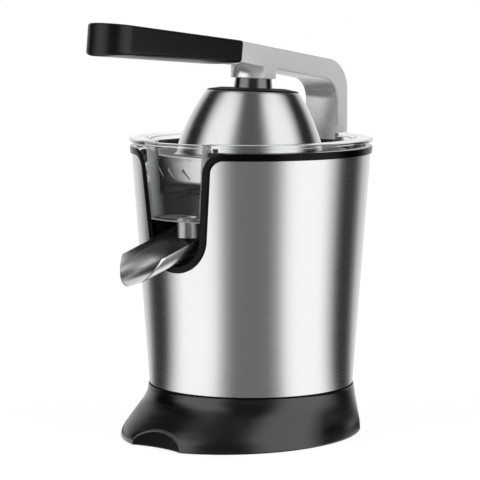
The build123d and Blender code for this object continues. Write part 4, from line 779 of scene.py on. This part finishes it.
def build_collector():
    """One closed grid: the section's rows carried across the window bay, round the bowl to the rear notch, through it
    and back. In the bay a point lies on the window's cone, on a plane behind it or on the way to the chimney. The
    nozzle's hole is then cut through the bay's floor."""
    rows = collector_rows()
    half, cone, flat, plane, in_share, ring, bay_z, bowl_r, bowl_z, start, notch_r, notch_z = np.moveaxis(rows, 1, 0)
    across = np.linspace(-1, 1, 49)
    x = half * across
    y = (1 - flat) * -np.sqrt(cone ** 2 - x ** 2) + flat * plane
    turn = across * np.arcsin(cut_side(BOWL_FLOOR, TRIM_WIDTH + PANE_GAP) / BOWL_R)
    bay = np.stack([(1 - in_share) * x + in_share * ring * np.sin(turn),
                    (1 - in_share) * y - in_share * ring * np.cos(turn), bay_z + 0 * x], -1)
    first, last = np.arcsin(start / bowl_r), pi - np.arcsin(NOTCH_HALF / np.maximum(bowl_r, BOWL_R - CLEAR_WALL))
    angle = first + np.linspace(0, 1, 120) * (last - first)
    right = np.stack([bowl_r * np.sin(angle), -bowl_r * np.cos(angle), bowl_z + 0 * angle], -1)
    end = pi - np.arcsin(NOTCH_HALF / np.maximum(notch_r, BOWL_R - CLEAR_WALL))
    angle = end + np.linspace(0, 1, 13) * (2 * pi - 2 * end)
    notch = np.stack([notch_r * np.sin(angle), -notch_r * np.cos(angle), notch_z + 0 * angle], -1)
    grid = np.concatenate([bay, right, notch, right[:, ::-1] * (-1, 1, 1), bay[:, :1]], 1)
    made = piece("clear_collector", [closed(grid)], "collector", crease=CLEAR_CREASE)
    low, high = BAY_LOW - DRILL_BELOW, BAY_LOW + DRILL_ABOVE
    plug = lathe(np.array([(0, low), (NOZZLE_NECK, low), (NOZZLE_NECK, high), (0, high)]), columns=65)
    mesh, _ = mesh_of("drill", [plug], Matrix.Translation((0, NOZZLE_Y, 0)))
    merged(mesh)
    drill = placed("drill", mesh)
    hole = made.modifiers.new("outlet_hole", "BOOLEAN")
    hole.object, hole.solver = drill, "EXACT"
    cut = bpy.data.meshes.new_from_object(made.evaluated_get(bpy.context.evaluated_depsgraph_get()))
    made.modifiers.clear()
    made.data = cut
    bpy.data.objects.remove(drill)
    shaded(cut, CLEAR_CREASE)


def build_nozzle():
    """Short pipe under the bay, turned about its own upright axis, with its neck in the bay's floor."""
    seat, neck, top = BAY_LOW - NOZZLE_SEAT, NOZZLE_NECK - NOZZLE_FIT, BAY_LOW + CLEAR_WALL
    section = rounded([(NOZZLE_BORE, NOZZLE_LOW), (NOZZLE_R, NOZZLE_LOW), (NOZZLE_R, seat), (neck, seat), (neck, top),
                       (NOZZLE_BORE, top)], NOZZLE_CORNERS, count=5)
    piece("outlet_pipe", [lathe(closed(section), columns=129)], "outlet_nozzle", Matrix.Translation((0, NOZZLE_Y, 0)),
          finishes=[CLEAR_PIPE])


build_collector()
build_nozzle()
build_sleeve()
build_trim()
build_base()
build_dome()
build_neck()
build_grip()
build_spout()
for plain in ("lever_arm", "sieve", "juicing_cone", "hinge_bracket", "inner_tub", "spout_niche", "feet", "cord_gland"):
    smoothed(plain + "_smooth", plain)
# Kept out of the mirror directions, so that dome, base and spout show the studio's bands alone
for held_out in ("grip", "drip_spout", "lever_arm_smooth", "clear_collector", "outlet_pipe"):
    bpy.data.objects[held_out].visible_glossy = False
nodes["grip_screws"].visible_glossy = False


# Stage, light and camera

# Camera fitted to the photo: degrees from the front, distance and height in metres, tilt and pan in degrees, lens
CAMERA_AZIMUTH, CAMERA_REACH, CAMERA_HEIGHT = 41.5, 1.7916, 0.34687
CAMERA_TILT, CAMERA_PAN, CAMERA_LENS, CAMERA_SENSOR = 6.536, 0.2616, 183.49, 36.0
# Light levels of the studio by the angle from the camera's direction in degrees: a grey wall behind the camera, soft
# boxes to both sides, a dark flag beyond each and a white backdrop
LEVELS = ((0, 0.19), (16, 0.2), (24, 0.38), (29, 0.66), (35, 1.08), (44, 1.26), (72, 1.26), (78, 1.02), (86, 0.6),
          (94, 0.15), (102, 0.04), (118, 0.05), (127, 0.22), (137, 0.62), (148, 0.78), (165, 0.9), (180, 1.0))
# Heights of a direction, 0 at the horizon and 1 overhead, between which the levels widen, drop and become the ceiling
SPREAD_RANGE, DROP_RANGE, CEILING_RANGE = (0.1, 0.6), (0.03, 0.25), (0.86, 0.97)
# Factor on the angle there, which draws the levels wider, how far they drop, the darkest that is left and the ceiling
HIGH_SPREAD, HIGH_DROP, DARKEST, CEILING = 0.86, 0.08, 0.02, 0.12
# Table: its radii in millimetres, its paper's shade and the glow that makes it white for the camera
TABLE_NEAR, TABLE_FAR, TABLE_PAPER, TABLE_GLOW = 400.0, 3000.0, 0.3, 0.88


def studio_level(tree, direction):
    """Light level for a direction or a place on the table: the levels round the object, drawn a little wider and
    lower above the horizon, and an even ceiling."""
    x, y, z = split(tree, direction)
    turn = maths(tree, "ARCTAN2", x, maths(tree, "MULTIPLY", y, -1.0))
    away = maths(tree, "SUBTRACT", turn, radians(CAMERA_AZIMUTH))
    either = maths(tree, "ABSOLUTE", maths(tree, "WRAP", away, pi, -pi))
    spread = ramped(tree, z, *SPREAD_RANGE, 1 / pi, HIGH_SPREAD / pi)
    ramp = add(tree, "ShaderNodeValToRGB", {0: maths(tree, "MULTIPLY", either, spread)})
    steps = ramp.color_ramp.elements
    while len(steps) < len(LEVELS):
        steps.new(1.0)
    most = max(level for _, level in LEVELS)
    for step, (angle, level) in zip(steps, LEVELS):
        step.position = angle / 180
        step.color = (level / most, level / most, level / most, 1)
    around = maths(tree, "MULTIPLY", ramp.outputs[0], most)
    high = maths(tree, "SUBTRACT", around, ramped(tree, z, *DROP_RANGE, 0.0, HIGH_DROP))
    return add(tree, "ShaderNodeMix", {0: ramped(tree, z, *CEILING_RANGE), 2: maths(tree, "MAXIMUM", high, DARKEST),
                                       3: CEILING}).outputs[0]


def seen(tree):
    """1 for a ray from the camera or through clear plastic, 0 for light and reflections."""
    path = add(tree, "ShaderNodeLightPath").outputs
    return maths(tree, "MAXIMUM", path["Is Camera Ray"], path["Is Transmission Ray"])


def table_shader(tree):
    """White table for the camera, with the object's soft shadow; its lit bands for light and reflections."""
    place = add(tree, "ShaderNodeTexCoord").outputs["Object"]
    glow = add(tree, "ShaderNodeEmission", {"Color": colour("#ffffff"), "Strength": studio_level(tree, place)})
    paper = add(tree, "ShaderNodeBsdfDiffuse", {"Color": (TABLE_PAPER, TABLE_PAPER, TABLE_PAPER, 1)})
    white = add(tree, "ShaderNodeEmission", {"Color": colour("#ffffff"), "Strength": TABLE_GLOW})
    shown = add(tree, "ShaderNodeAddShader", {0: paper.outputs[0], 1: white.outputs[0]})
    return add(tree, "ShaderNodeMixShader", {0: seen(tree), 1: glow.outputs[0], 2: shown.outputs[0]})


table_disc = lathe(np.array([(0.0, 0.0), (TABLE_NEAR, 0.0), (TABLE_FAR, 0.0)]), columns=97)
table_mesh, _ = mesh_of("table", [table_disc])
table_mesh.materials.append(material("paper_white_lit", table_shader))
table = placed("table", table_mesh)

world = bpy.data.worlds.new("white_studio")
bpy.context.scene.world = world
world.use_nodes = True
tree = world.node_tree
tree.nodes.clear()
around = add(tree, "ShaderNodeTexCoord").outputs["Generated"]
lit = add(tree, "ShaderNodeBackground", {"Color": colour("#ffffff"), "Strength": studio_level(tree, around)})
backdrop = add(tree, "ShaderNodeBackground", {"Color": colour("#ffffff"), "Strength": 1.0})
shown = add(tree, "ShaderNodeMixShader", {0: seen(tree), 1: lit.outputs[0], 2: backdrop.outputs[0]})
add(tree, "ShaderNodeOutputWorld", {"Surface": shown.outputs[0]})

camera_data = bpy.data.cameras.new("camera")
camera_data.sensor_width = CAMERA_SENSOR
camera_data.lens = CAMERA_LENS
camera = placed("camera", camera_data)
azimuth = radians(CAMERA_AZIMUTH)
camera.location = (CAMERA_REACH * sin(azimuth), -CAMERA_REACH * cos(azimuth), CAMERA_HEIGHT)
camera.rotation_euler = (radians(90 - CAMERA_TILT), 0, radians(CAMERA_AZIMUTH + CAMERA_PAN))
bpy.context.scene.camera = camera
bpy.context.scene.view_settings.view_transform = "Standard"
